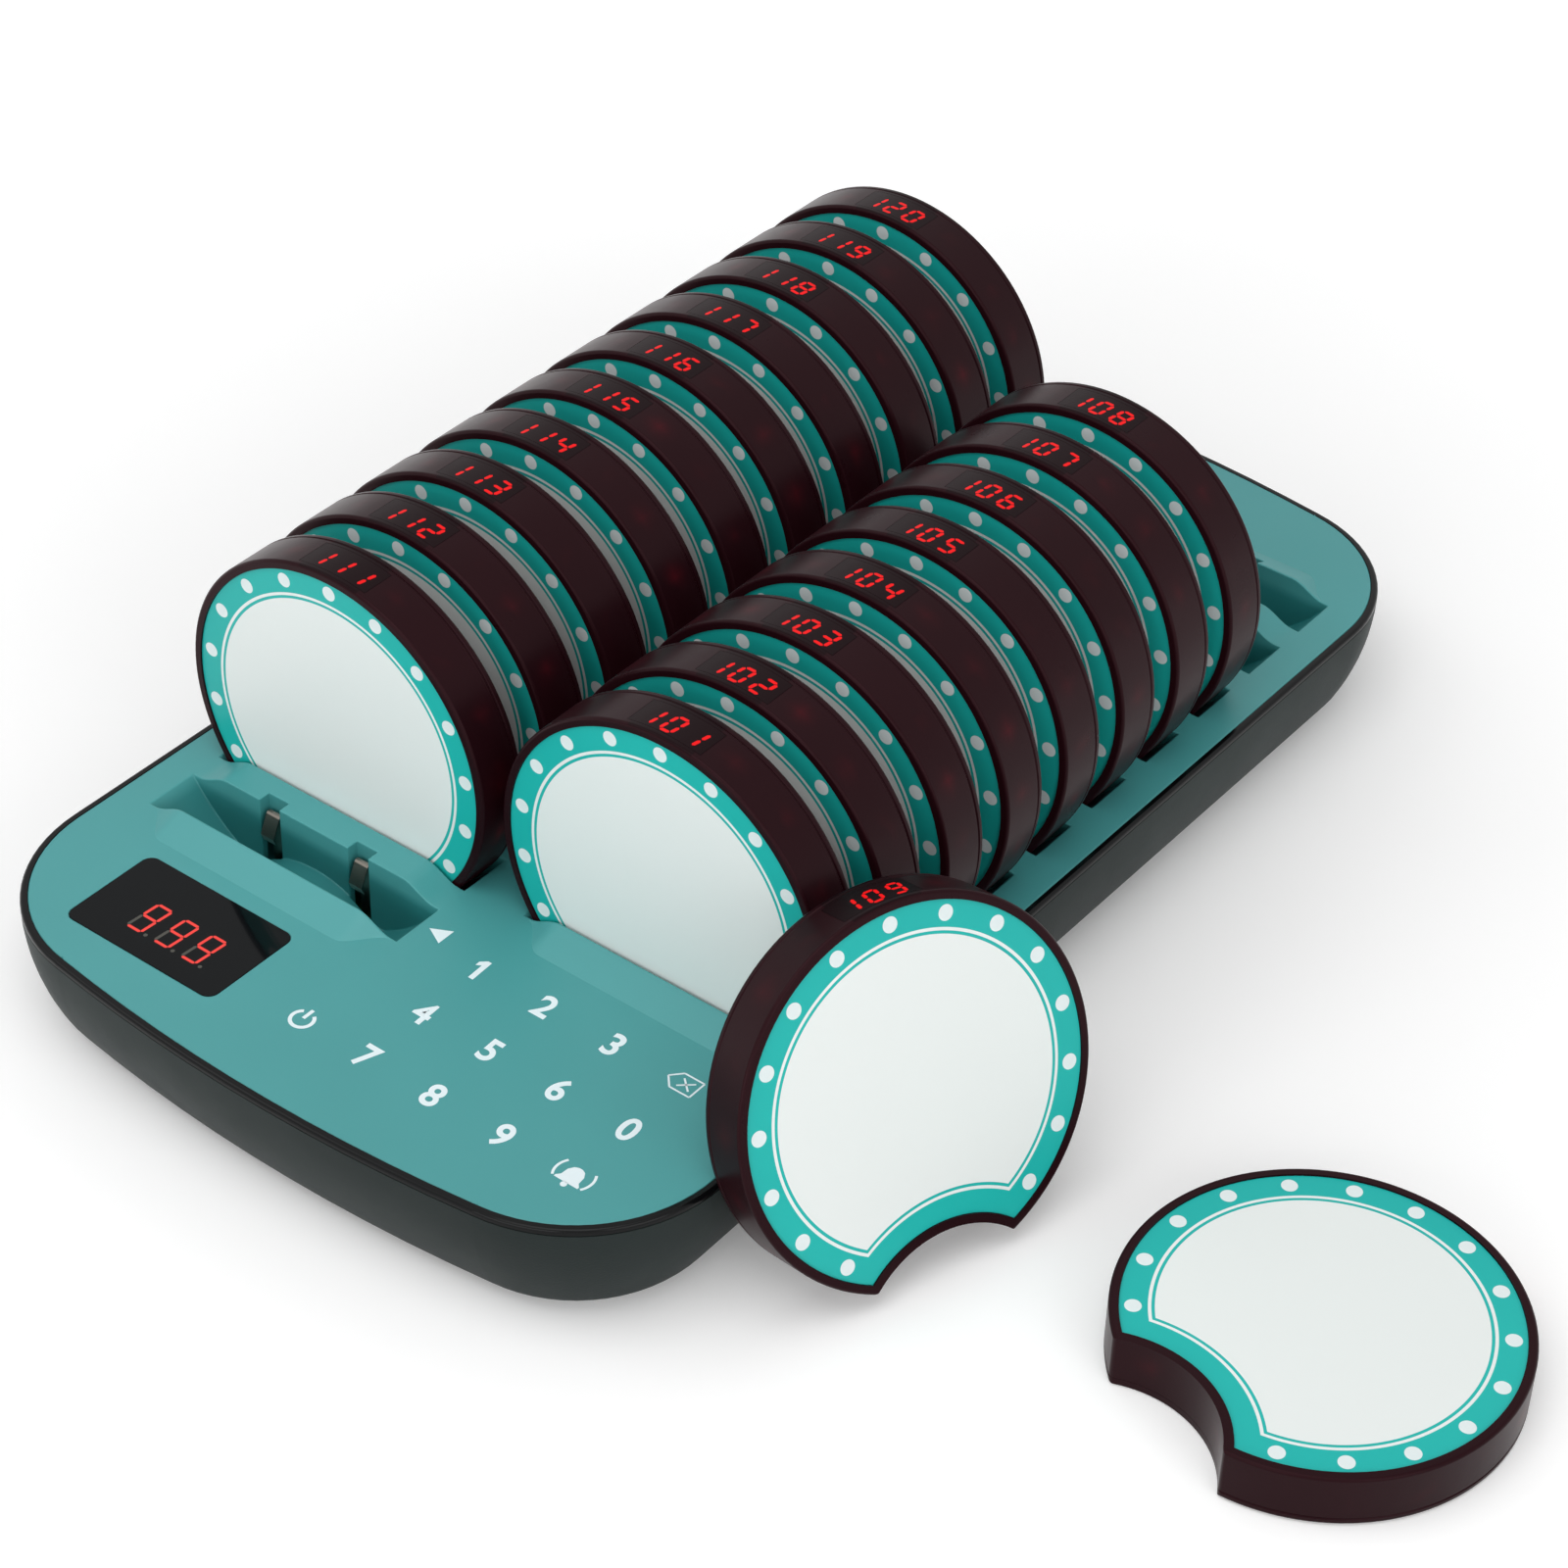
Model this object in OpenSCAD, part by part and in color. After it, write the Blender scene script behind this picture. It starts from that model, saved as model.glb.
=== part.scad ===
// Guest pager system: a keypad and charging base with two rows of wells, eighteen docked
// pagers, one pager leaning on the base and one lying beside it. Millimetres, +Z up, +Y away
// from the keypad, origin on the counter under the middle of the base.

/* [Base outline] */
// Width of the deck
deck_w = 211; // [209:0.5:220]
// Length of the deck along its middle
deck_l = 376; // [370:1:400]
// Radius of the deck's corners in plan
corner_r = 42; // [36:1:46]
// Radius of the two bowed ends in plan
end_bow_r = 500; // [420:10:700]
// Height from the underside of the lower case to the deck
case_h = 33; // [32.5:0.5:40]
// How far the feet stand out below the lower case
foot_proud = 1.5; // [0.8:0.1:3]

/* [Base shells] */
// Thickness of the lower case
wall = 2.5; // [2:0.1:2.8]
// Thickness of the deck
deck_t = 2.5; // [2:0.1:3]
// Radius of the small round on the deck's edge
deck_edge_r = 0.4; // [0.2:0.1:0.6]
// Width of the frame seen round the deck
rim_w = 2.1; // [1.8:0.1:3]
// Height of the frame's outer band
rim_h = 1.6; // [1.4:0.1:2.2]
// Round on the frame's outer edge
rim_round = 1; // [0.5:0.1:1.2]
// Open seam between the frame and the lower case
seam = 0.3; // [0.2:0.1:0.6]
// Width of the frame's ledge under the deck
ledge_w = 3; // [2:0.1:4]
// Thickness of that ledge
ledge_t = 1.5; // [1.2:0.1:2]
// Play between two mouldings that fit into each other
fit_gap = 0.1; // [0.05:0.01:0.2]
// Radius of the lower case's hollowing side wall
side_r = 62; // [58:1:80]
// Radius of the lower case's bottom edge
bottom_r = 8; // [5:0.5:10]

/* [Pager] */
// Thickness of a pager
pager_t = 15; // [13.5:0.1:15.5]
// Wall of a pager's case
pager_wall = 2.2; // [1.6:0.1:2.6]
// Thickness of its back cover
back_t = 2; // [1.6:0.1:2.4]
// Round on its front and back edges
pager_edge_r = 0.9; // [0.5:0.1:1.2]
// Radius of the concave notch at its foot
bite_r = 29; // [27:0.5:31]
// How far the notch's centre is below the pager's rim
bite_out = 16.3; // [15:0.1:18]
// Round on the notch's two corners
tip_r = 1.5; // [1:0.1:2]
// Depth of the label's recess
recess = 0.8; // [0.6:0.1:1.2]
// Thickness of the label
label_t = 0.3; // [0.2:0.05:0.5]
// Bare rim left round the label
label_margin = 2.5; // [2:0.1:3.5]
// Width of the number window in the top of the rim
number_w = 22; // [20:0.5:26]
// Its size across the rim
number_h = 9.8; // [9:0.1:10]

/* [Wells] */
// Wells in the right column
right_wells = 10; // [9:1:10]
// Wells in the left column behind the spare one at its front
left_wells = 10; // [6:1:10]
// Pagers docked in the right column
right_docked = 8; // [5:1:9]
// Space between the pagers of the two columns
column_gap = 4.2; // [3.6:0.1:5]
// Width of deck left outside the pagers
side_deck = 3.4; // [2.6:0.1:4]
// How much nearer the keypad the left column sits
left_shift = 2.3; // [0:0.1:4]
// Distance from the keypad end of the deck to the face of a pager in the spare well
spare_face = 62.5; // [61.5:0.1:66]
// Length of deck left behind the last well's pager
rear_deck = 41.2; // [38:0.1:46]
// Height of a docked pager's centre above the deck
sit_h = 28; // [27.5:0.1:29]
// Play on each face of a docked pager
face_play = 0.4; // [0.35:0.05:0.6]
// Play round a docked pager's rim
rim_play = 1.5; // [1:0.1:1.8]
// Play between a docked pager and what it rests on
seat_play = 0.3; // [0.3:0.05:0.5]
// Wall of the wells under the deck
well_wall = 2; // [1.6:0.1:2.4]
// Height of the raised lips above the deck
lip_h = 3.8; // [2:0.1:5]
// Length of a lip's level top
lip_flat = 61; // [40:1:66]
// Length of a whole lip
lip_l = 83; // [80:1:86]
// Steepness of the lips' outer faces, in degrees
lip_slope = 23; // [20:1:45]

/* [Contacts] */
// Distance between a well's two contacts
contact_gap = 31; // [28:0.5:34]
// Width of a contact's notch
notch_w = 7; // [6:0.1:8]
// Depth of a contact's notch
notch_d = 3.7; // [3.4:0.1:4]
// Width of a leaf contact
leaf_w = 4.5; // [3.5:0.1:5]
// Thickness of a leaf contact
leaf_t = 0.3; // [0.2:0.05:0.4]
// How far a free leaf stands out into its well
leaf_out = 1.4; // [0.8:0.1:1.6]
// Radius of a pager's charging pads
pad_r = 3.5; // [2.5:0.1:4]

/* [Display and keypad] */
// Width of the display window
window_w = 50.7; // [46:0.1:56]
// Length of the display window
window_l = 30.4; // [28:0.1:34]
// Corner radius of the display window
window_r = 3; // [2:0.1:5]
// Thickness of the display window
window_t = 1.5; // [1.2:0.1:1.8]
// Lip that carries the window
window_seat = 1.5; // [1:0.1:2.5]
// Distance of the window's middle left of the base's middle
window_x = 54.8; // [50:0.1:58]
// Distance from the keypad end of the deck to the window's middle
window_y = 32; // [30:0.1:34]
// Width of the three-digit display
module_w = 37.6; // [34:0.1:42]
// Length of the three-digit display
module_l = 17; // [15:0.1:20]
// Height of the three-digit display
module_h = 8; // [7:0.1:9]
// Width of the touch-key board
keys_w = 92; // [88:0.5:94]
// Length of the touch-key board
keys_l = 62; // [58:0.5:64]

/* [Boards, feet and fasteners] */
// Thickness of every circuit board in the base
board_t = 1.6; // [1:0.1:2]
// Width of the main board
main_w = 150; // [140:1:152]
// Length of the main board
main_l = 41; // [34:0.5:42]
// Width of a charging board
charge_w = 66; // [60:1:68]
// Radius of a foot
foot_r = 7; // [5:0.5:8]
// Depth of a foot's recess in the lower case
foot_seat = 1; // [0.6:0.1:1.2]
// Radius of the case screws' heads
head_r = 2.8; // [2.4:0.1:3]
// Height of the case screws' heads
head_h = 2; // [1.6:0.1:2.2]
// Radius of the case screws
screw_r = 1.5; // [1.3:0.05:1.6]
// Length of the case screws under their heads
screw_l = 13; // [11:0.5:14]
// Radius of the screw posts
post_r = 4.5; // [4.2:0.1:5]
// Distance of the power inlet from the middle of the base
jack_x = 30; // [26:0.5:40]
// Radius of the power inlet's nose
jack_r = 4; // [3.6:0.1:4.2]
// Radius of the hole in the power inlet
jack_bore = 2.8; // [2.6:0.1:3]

/* [Loose pagers] */
// How far the leaning pager tilts back, in degrees
lean_tilt = 19; // [17:0.5:19.5]
// Direction that the leaning pager faces, in degrees from the keypad end towards the right
lean_turn = 72; // [71:0.5:76]
// Distance from the keypad end of the deck to the leaning pager's middle
lean_in = 88; // [84:0.5:88.5]
// Distance from the deck's side to the lying pager's middle
lying_out = 126; // [112:0.5:150]
// Distance from the keypad end of the deck to the lying pager's middle
lying_in = 116; // [90:0.5:140]
// Turn of the lying pager, in degrees
lying_turn = -19; // [-60:1:60]

/* [Hidden] */
$fn = 64;

number_first = 101;
number_lean = number_first + right_docked;
number_lying = number_lean + 1;
number_left = number_lean + 2;

right_numbers = [for (i = [0 : right_docked - 1]) number_first + i];
left_numbers = [for (i = [0 : left_wells - 1]) number_left + i];
docked_numbers = concat(right_numbers, left_numbers);
plain_numbers = concat(docked_numbers, [number_lean]);

BASE_NODES = [
  "top_cover", "rim_frame", "lower_case", "display_window", "display_module", "key_board",
  "main_board", "charge_boards", "charge_springs", "antenna", "buzzer", "dc_jack", "feet",
  "screws"
];
LYING_NODES = [
  "case", "back_cover", "window", "label", "board", "battery", "display", "motor"
];

function case_node(number) = str("pager_", number, "_case");
function label_node(number) = str("pager_", number, "_label");
function lying_node(piece) = str("pager_", number_lying, "_", piece);

teal = [0.30, 0.60, 0.60];
gloss_black = [0.05, 0.06, 0.06];
charcoal = [0.24, 0.26, 0.26];
board_green = [0.10, 0.35, 0.20];
nickel = [0.75, 0.74, 0.70];
dark_red = [0.14, 0.07, 0.08];
print_white = [0.87, 0.89, 0.88];

// ---- base outline ----
half_w = deck_w / 2;
half_l = deck_l / 2;
deck_z = foot_proud + case_h;
corner_x = half_w - corner_r;
bow_y = half_l - end_bow_r;
corner_y = bow_y + sqrt(pow(end_bow_r - corner_r, 2) - pow(corner_x, 2));
bow_angle = asin(corner_x / (end_bow_r - corner_r));
// A swept bow stops this far short of its corner, and the corner's sweep runs twice as far on.
lap = 0.9;
bow_trim = lap / end_bow_r * 180 / PI;
corner_more = 2 * lap / corner_r * 180 / PI;

// ---- lower case wall: depths are measured down from the deck ----
case_top = rim_h + seam;
shoulder = deck_t + ledge_t;
// The frame's outer band is this wide below the seam, and every sweep reaches this far in.
web_in = 0.8;
ring_in = 18;
plate_in = ring_in - 1;
round_in = rim_w - side_r + sqrt(pow(side_r - bottom_r, 2) - pow(case_h - bottom_r - rim_h, 2));
round_angle = asin((case_h - bottom_r - rim_h) / (side_r - bottom_r));

// ---- wells ----
// Level width in front of the first well, and how far the lips reach down into the deck.
lip_edge = 0.6;
lip_root = 1;
pager_r = (half_w - side_deck - column_gap / 2) / 2;
column_x = pager_r + column_gap / 2;
bite_drop = pager_r + bite_out;
pocket_r = pager_r + rim_play;
pocket_t = pager_t + 2 * face_play;
block_r = pocket_r + well_wall;
saddle_r = bite_r - seat_play;
tip_c = pager_r - tip_r;
tip_z = (pow(bite_r + tip_r, 2) - pow(tip_c, 2) - pow(bite_drop, 2)) / (2 * bite_drop);
tip_x = sqrt(pow(tip_c, 2) - pow(tip_z, 2));
pager_foot = tip_r - tip_z;
floor_drop = pager_foot + seat_play;
block_drop = floor_drop + well_wall;
block_z = deck_z + sit_h - block_drop;
spare_front = -1;
// The deck has room for this many steps from the spare well to the last one.
well_steps = 10;
pitch = (deck_l - spare_face - left_shift - pager_t - rear_deck) / well_steps;
face_y = spare_face + left_shift + pitch - half_l;

// Face of the pager in well i of a column: side is 1 on the right and -1 on the left.
function well_face(side, i) = face_y - (side < 0 ? left_shift : 0) + i * pitch;
function well_far(side, i) = well_face(side, i) + pager_t + face_play;
function first_well(side) = side < 0 ? spare_front : 0;
function last_well(side) = (side < 0 ? left_wells : right_wells) - 1;
function is_empty(side, i) = side < 0 ? i == spare_front : i >= right_docked;
function block_front(side) = well_face(side, first_well(side)) - face_play - well_wall;
function block_back(side) = well_far(side, last_well(side)) + well_wall;

// ---- boards and fasteners ----
board_top = deck_z - deck_t - module_h;
front_screw = [half_w - 17, 40 - half_l];
rear_screw = [half_w - 21.5, half_l - 30];
mid_screws = [-40, 70];
screw_spots = concat(
  [for (s = [-1, 1]) [s * front_screw[0], front_screw[1]]],
  [for (s = [-1, 1]) [s * rear_screw[0], rear_screw[1]]],
  [for (y = mid_screws) [0, y]]
);
pilot = 0.2;
loose = 0.4;
post_top = deck_z - 14;
bite_l = 6;
head_seat = post_top - screw_l + bite_l + 1;
board_screw_wells = [0, 4, 8];
board_screw_l = 6;
board_head_h = 1.4;
board_head_r = 2.2;
board_screw_r = 1.1;
board_post_r = 3;
main_y = 16 - half_l;
main_in = 3.5;
main_posts = [
  [main_in - main_w / 2, main_y + main_in],
  [main_w / 2 - main_in, main_y + main_in],
  [0, main_y + main_l - main_in]
];
foot_x = half_w - 25.5;
corner_foot = [half_w - 39.5, half_l - 28];
foot_spots = concat(
  [[0, 0], [foot_x, 0], [-foot_x, 0]],
  [for (sx = [-1, 1], sy = [-1, 1]) [sx * corner_foot[0], sy * corner_foot[1]]]
);
jack_z = block_z + 5.5;
jack_body = [9, 11, 11];
jack_depth = 9;
// Where the lower case's rear wall is at the power inlet.
jack_wall_in = rim_w - side_r + sqrt(pow(side_r, 2) - pow(deck_z - jack_z - rim_h, 2));
jack_wall_y = bow_y + sqrt(pow(end_bow_r, 2) - pow(jack_x, 2)) + jack_wall_in;
jack_back = jack_wall_y - wall - 2;

// ---- inside a pager: y runs from its face to its back ----
case_t = pager_t - back_t;
label_r = pager_r - label_margin;
label_bite = bite_r + label_margin;
number_depth = 1.6;
number_y = 1.9;
number_lip = 0.8;
digits_play = 0.3;
digits_drop = 12;
pcb_t = 1.2;
pcb_y = 5.6;
pad_z = 18 - pager_r;

// ================= shared shapes =================

// The deck's outline in plan, grown outwards by e.
module outline(e) {
  square([2 * (half_w + e), 2 * corner_y], center = true);
  intersection() {
    square([2 * (corner_x + (corner_r + e) * sin(bow_angle)), deck_l + 4 * rim_w], center = true);
    translate([0, bow_y])
      circle(end_bow_r + e);
    translate([0, -bow_y])
      circle(end_bow_r + e);
  }
  for (sx = [-1, 1], sy = [-1, 1])
    translate([sx * corner_x, sy * corner_y])
      circle(corner_r + e);
}

// A profile carried round the deck's outline: its x is the distance outside the deck's edge
// and its y the height above the deck.
module around() {
  translate([0, 0, deck_z])
    for (turn = [0, 180])
      rotate([0, 0, turn]) {
        for (flip = [0, 1])
          mirror([0, flip, 0]) {
            translate([half_w, corner_y, 0])
              rotate([90, 0, 0])
                linear_extrude(corner_y + lap)
                  children();
            translate([corner_x, corner_y, 0])
              rotate_extrude(angle = 90 - bow_angle + corner_more)
                translate([corner_r, 0])
                  children();
          }
        translate([0, bow_y, 0])
          rotate([0, 0, 90 - bow_angle + bow_trim])
            rotate_extrude(angle = 2 * (bow_angle - bow_trim))
              translate([end_bow_r, 0])
                children();
      }
}

// Points on an arc from angle a to angle b.
function arc(centre, r, a, b, steps) =
  [for (k = [0 : steps]) let (t = a + (b - a) * k / steps) centre + r * [cos(t), sin(t)]];

// Side of the lower case at a distance in from its outer face.
function side_points(inset, from) = concat(
  arc([rim_w - side_r, -rim_h], side_r - inset, -asin((from - rim_h) / (side_r - inset)), -round_angle, 9),
  arc([round_in, bottom_r - case_h], bottom_r - inset, -round_angle - 8, -90, 7)
);

// A strip of even thickness along points that lie in a plane.
function strip_normal(p, k) =
  let (a = p[max(k - 1, 0)], b = p[min(k + 1, len(p) - 1)], d = (b - a) / norm(b - a)) [-d[1], d[0]];
function strip(p, t) = concat(
  [for (k = [0 : len(p) - 1]) p[k] + strip_normal(p, k) * t / 2],
  [for (k = [len(p) - 1 : -1 : 0]) p[k] - strip_normal(p, k) * t / 2]
);

// A cylinder that lies along +Y from y = 0.
module along_y(r, h) {
  rotate([-90, 0, 0])
    cylinder(r = r, h = h);
}

// A flat shape drawn with x right and y up, extruded along +Y from y = 0.
module upright(h) {
  translate([0, h, 0])
    rotate([90, 0, 0])
      linear_extrude(h)
        children();
}

// ================= base =================

// Half of a lip's outline, from its foot up its rounded shoulder to its level top.
function shoulder_points(steps) =
  [
    for (k = [0 : steps])
      [lip_l / 2 - (lip_l - lip_flat) / 2 * k / steps, lip_h * (1 - cos(180 * k / steps)) / 2]
  ];

// The raised lips of one column. At each end an outer face slopes down to the deck from the
// lip's own outline, so it tapers off with the shoulders.
module lips(side) {
  front = well_face(side, first_well(side)) - face_play - lip_edge;
  back = well_far(side, last_well(side)) + lip_edge;
  fall = tan(lip_slope);
  reach = (lip_h + lip_root) / fall;
  right = shoulder_points(8);
  left = [for (k = [len(right) - 1 : -1 : 0]) [-right[k][0], right[k][1]]];
  outline_points = concat([[-lip_l / 2, -lip_root], [lip_l / 2, -lip_root]], right, left);
  translate([side * column_x, 0, deck_z])
    intersection() {
      union() {
        translate([0, front, 0])
          upright(back - front)
            polygon(outline_points);
        translate([0, front, 0])
          multmatrix([[1, 0, 0, 0], [0, 1, 0, 0], [0, fall, 1, 0]])
            translate([0, -reach, 0])
              upright(reach)
                polygon(outline_points);
        translate([0, back, 0])
          multmatrix([[1, 0, 0, 0], [0, 1, 0, 0], [0, -fall, 1, 0]])
            upright(reach)
              polygon(outline_points);
      }
      translate([-lip_l, front - reach, -lip_root])
        cube([2 * lip_l, back - front + 2 * reach, 2 * (lip_h + lip_root)]);
    }
}

// The trough under one column that the wells are cut into.
module well_block(side) {
  translate([side * column_x, block_front(side), deck_z + sit_h])
    intersection() {
      along_y(block_r, block_back(side) - block_front(side));
      translate([-block_r, 0, -block_drop])
        cube([2 * block_r, block_back(side) - block_front(side), block_drop - sit_h - deck_t / 2]);
    }
}

// Room for a docked pager, with a saddle left standing for its notch.
module pocket() {
  translate([0, -face_play, 0])
    difference() {
      intersection() {
        along_y(pocket_r, pocket_t);
        translate([-pocket_r, 0, -floor_drop])
          cube([2 * pocket_r, pocket_t, floor_drop]);
      }
      translate([0, -1, -bite_drop])
        along_y(saddle_r, pocket_t + 2);
    }
}

// Hollow inside the divider behind well i, open to below.
module divider_hollow(side, i) {
  hollow = pitch - pocket_t - 2 * well_wall;
  translate([0, pager_t + face_play + well_wall, 0])
    intersection() {
      along_y(pocket_r, hollow);
      translate([-pocket_r, 0, -block_drop - 1])
        cube([2 * pocket_r, hollow, block_drop + 1 - sit_h - deck_t]);
    }
}

// The slots in a well's far wall that hold its two contacts.
module notches() {
  for (s = [-1, 1])
    translate([s * contact_gap / 2 - notch_w / 2, pager_t + face_play - 0.2, -block_drop - 1])
      cube([notch_w, notch_d + 0.2, block_drop + 1]);
}

module column_cuts(side) {
  for (i = [first_well(side) : last_well(side)])
    translate([side * column_x, well_face(side, i), deck_z + sit_h]) {
      pocket();
      notches();
      if (i < last_well(side))
        divider_hollow(side, i);
    }
}

module rounded_plate(w, l, r, t) {
  linear_extrude(t) {
    square([w - 2 * r, l], center = true);
    square([w, l - 2 * r], center = true);
    for (sx = [-1, 1], sy = [-1, 1])
      translate([sx * (w / 2 - r), sy * (l / 2 - r)])
        circle(r);
  }
}

module top_cover() {
  color(teal)
    difference() {
      union() {
        translate([0, 0, deck_z - deck_t])
          linear_extrude(deck_t)
            outline(-plate_in);
        around()
          polygon(concat(
            [[-ring_in, -deck_t], [0, -deck_t]],
            arc([-deck_edge_r, -deck_edge_r], deck_edge_r, 0, 90, 4),
            [[-ring_in, 0]]
          ));
        for (side = [-1, 1]) {
          lips(side);
          well_block(side);
        }
        for (p = screw_spots)
          translate([p[0], p[1], post_top])
            cylinder(r = post_r - loose, h = deck_z - deck_t / 2 - post_top);
      }
      for (side = [-1, 1])
        column_cuts(side);
      for (p = screw_spots)
        translate([p[0], p[1], post_top - 1])
          cylinder(r = screw_r - pilot, h = bite_l + 2);
      for (side = [-1, 1], p = charge_spots(side))
        translate([p[0], p[1], block_z - 1])
          cylinder(r = board_screw_r - pilot, h = board_screw_l + 1);
      translate([-window_x, window_y - half_l, deck_z - window_t])
        rounded_plate(window_w + 2 * fit_gap, window_l + 2 * fit_gap, window_r + fit_gap, window_t + 1);
      translate([-window_x, window_y - half_l, deck_z - deck_t - 1])
        rounded_plate(window_w - 2 * window_seat, window_l - 2 * window_seat, window_r, deck_t + 1);
    }
}

module rim_frame() {
  color(gloss_black)
    around()
      polygon(concat(
        [[fit_gap, 0], [fit_gap, -deck_t], [-ledge_w, -deck_t], [-ledge_w, -shoulder], [web_in, -shoulder]],
        [[web_in, -rim_h], [rim_w, -rim_h]],
        arc([rim_w - rim_round, -rim_round], rim_round, 0, 90, 6)
      ));
}

module lower_case() {
  floor_z = wall - case_h;
  inner = side_points(wall, shoulder);
  outer = side_points(0, case_top);
  back_in = len(inner) - 1;
  color(charcoal)
    difference() {
      union() {
        around()
          polygon(concat(
            outer,
            [[-ring_in, -case_h], [-ring_in, floor_z]],
            [for (k = [back_in : -1 : 0]) inner[k]],
            [[web_in + fit_gap, -shoulder], [web_in + fit_gap, -case_top]]
          ));
        translate([0, 0, foot_proud])
          linear_extrude(wall)
            outline(-plate_in);
        for (p = screw_spots)
          translate([p[0], p[1], foot_proud + wall / 2])
            cylinder(r = post_r, h = post_top - foot_proud - wall / 2);
        for (p = main_posts)
          translate([p[0], p[1], foot_proud + wall / 2])
            cylinder(r = board_post_r, h = board_top - board_t - foot_proud - wall / 2);
      }
      for (p = screw_spots) {
        translate([p[0], p[1], foot_proud - 1])
          cylinder(r = head_r + loose, h = head_seat - foot_proud + 1);
        translate([p[0], p[1], foot_proud])
          cylinder(r = screw_r + pilot, h = post_top);
      }
      for (p = main_posts)
        translate([p[0], p[1], board_top - board_t - board_screw_l])
          cylinder(r = board_screw_r - pilot, h = board_screw_l + 1);
      for (p = foot_spots)
        translate([p[0], p[1], foot_proud - 1])
          cylinder(r = foot_r + fit_gap, h = foot_seat + 1);
      translate([jack_x, jack_wall_y - 3 * wall, jack_z])
        along_y(jack_r + fit_gap, 6 * wall);
    }
}

module display_window() {
  color(gloss_black)
    translate([-window_x, window_y - half_l, deck_z - window_t])
      rounded_plate(window_w, window_l, window_r, window_t);
}

module display_module() {
  lens_room = fit_gap;
  color(charcoal)
    translate([-window_x - module_w / 2, window_y - half_l - module_l / 2, board_top])
      cube([module_w, module_l, module_h + deck_t - window_t - lens_room]);
}

// Room for the screw posts where they pass a board.
module post_room(z) {
  for (p = screw_spots)
    translate([p[0], p[1], z - 1])
      cylinder(r = post_r + loose, h = board_t + 2);
}

// Holes for a board's own screws.
module board_holes(spots, z) {
  for (p = spots)
    translate([p[0], p[1], z - 1])
      cylinder(r = board_screw_r + pilot, h = board_t + 2);
}

function charge_spots(side) =
  [for (i = board_screw_wells) [side * column_x, well_face(side, i) + pager_t / 2]];

module key_board() {
  tab = [17, 24];
  start = [-2, 13 - half_l];
  z = deck_z - deck_t - board_t;
  color(board_green)
    difference() {
      union() {
        translate([start[0], start[1], z])
          cube([keys_w, keys_l, board_t]);
        translate([start[0] + 1 - tab[0], start[1], z])
          cube([tab[0], tab[1], board_t]);
      }
      post_room(z);
      translate([0, 0, z - 1])
        linear_extrude(board_t + 2)
          difference() {
            square(2 * deck_l, center = true);
            outline(-ledge_w - loose);
          }
    }
}

module main_board() {
  z = board_top - board_t;
  color(board_green)
    difference() {
      translate([-main_w / 2, main_y, z])
        cube([main_w, main_l, board_t]);
      board_holes(main_posts, z);
      post_room(z);
    }
}

module charge_boards() {
  z = block_z - board_t;
  tab_w = jack_body[0] + 4;
  inset = 2;
  color(board_green)
    for (side = [-1, 1])
      difference() {
        union() {
          translate([side * column_x - charge_w / 2, block_front(side) + inset, z])
            cube([charge_w, block_back(side) - block_front(side) - 2 * inset, board_t]);
          if (side > 0)
            translate([jack_x - tab_w / 2, block_back(side) - 2 * inset, z])
              cube([tab_w, jack_back - block_back(side) + inset, board_t]);
        }
        board_holes(charge_spots(side), z);
      }
}

// One leaf contact, seen from the side with y = 0 at the well's far wall and z = 0 at the deck:
// a leg up from the board, a bend over the top, and a leaf that slants down into the well.
module leaf(out) {
  leg_y = notch_d - 0.8;
  foot_z = block_z - deck_z + leaf_t / 2;
  bend_r = 0.9;
  bend_z = -1;
  knee = [-out, bend_z - 5];
  path = concat(
    [[leg_y + 0.6, foot_z], [leg_y + 0.2, foot_z], [leg_y, foot_z + 0.4]],
    arc([leg_y - bend_r, bend_z], bend_r, 0, 160, 4),
    [knee, knee + [min(out, bend_r), -2.2]]
  );
  rotate([90, 0, 90])
    linear_extrude(leaf_w, center = true)
      polygon(strip(path, leaf_t));
}

module charge_springs() {
  pressed = -0.1;
  color(nickel)
    for (side = [-1, 1])
      for (i = [first_well(side) : last_well(side)], s = [-1, 1])
        translate([side * column_x + s * contact_gap / 2, well_far(side, i), deck_z])
          leaf(is_empty(side, i) ? leaf_out : pressed);
}

module antenna() {
  stub_r = 0.9;
  wire_r = 0.6;
  rise = 4.5;
  run = 0.4 * main_w;
  color(nickel)
    translate([main_w / 2 - 8, main_y + main_l / 2, board_top]) {
      cylinder(r = stub_r, h = rise + stub_r);
      translate([0, 0, rise])
        rotate([0, -90, 0])
          cylinder(r = wire_r, h = run);
    }
}

module buzzer() {
  sound_hole = 1;
  color(gloss_black)
    translate([20, main_y + 10, board_top])
      difference() {
        cylinder(r = 6, h = 5.4);
        translate([0, 0, 3])
          cylinder(r = sound_hole, h = 3);
      }
}

module dc_jack() {
  nose_end = jack_wall_y - 0.5;
  pin_r = 1;
  color(gloss_black)
    difference() {
      union() {
        translate([jack_x - jack_body[0] / 2, jack_back - jack_body[1], block_z])
          cube(jack_body);
        translate([jack_x, jack_back - 1, jack_z])
          along_y(jack_r, nose_end - jack_back + 1);
      }
      translate([jack_x, nose_end - jack_depth, jack_z])
        along_y(jack_bore, jack_depth + 1);
    }
  color(nickel)
    translate([jack_x, nose_end - jack_depth - 1, jack_z])
      along_y(pin_r, jack_depth - 1);
}

module feet() {
  color(gloss_black)
    for (p = foot_spots)
      translate([p[0], p[1], 0])
        cylinder(r = foot_r, h = foot_proud + foot_seat);
}

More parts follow.
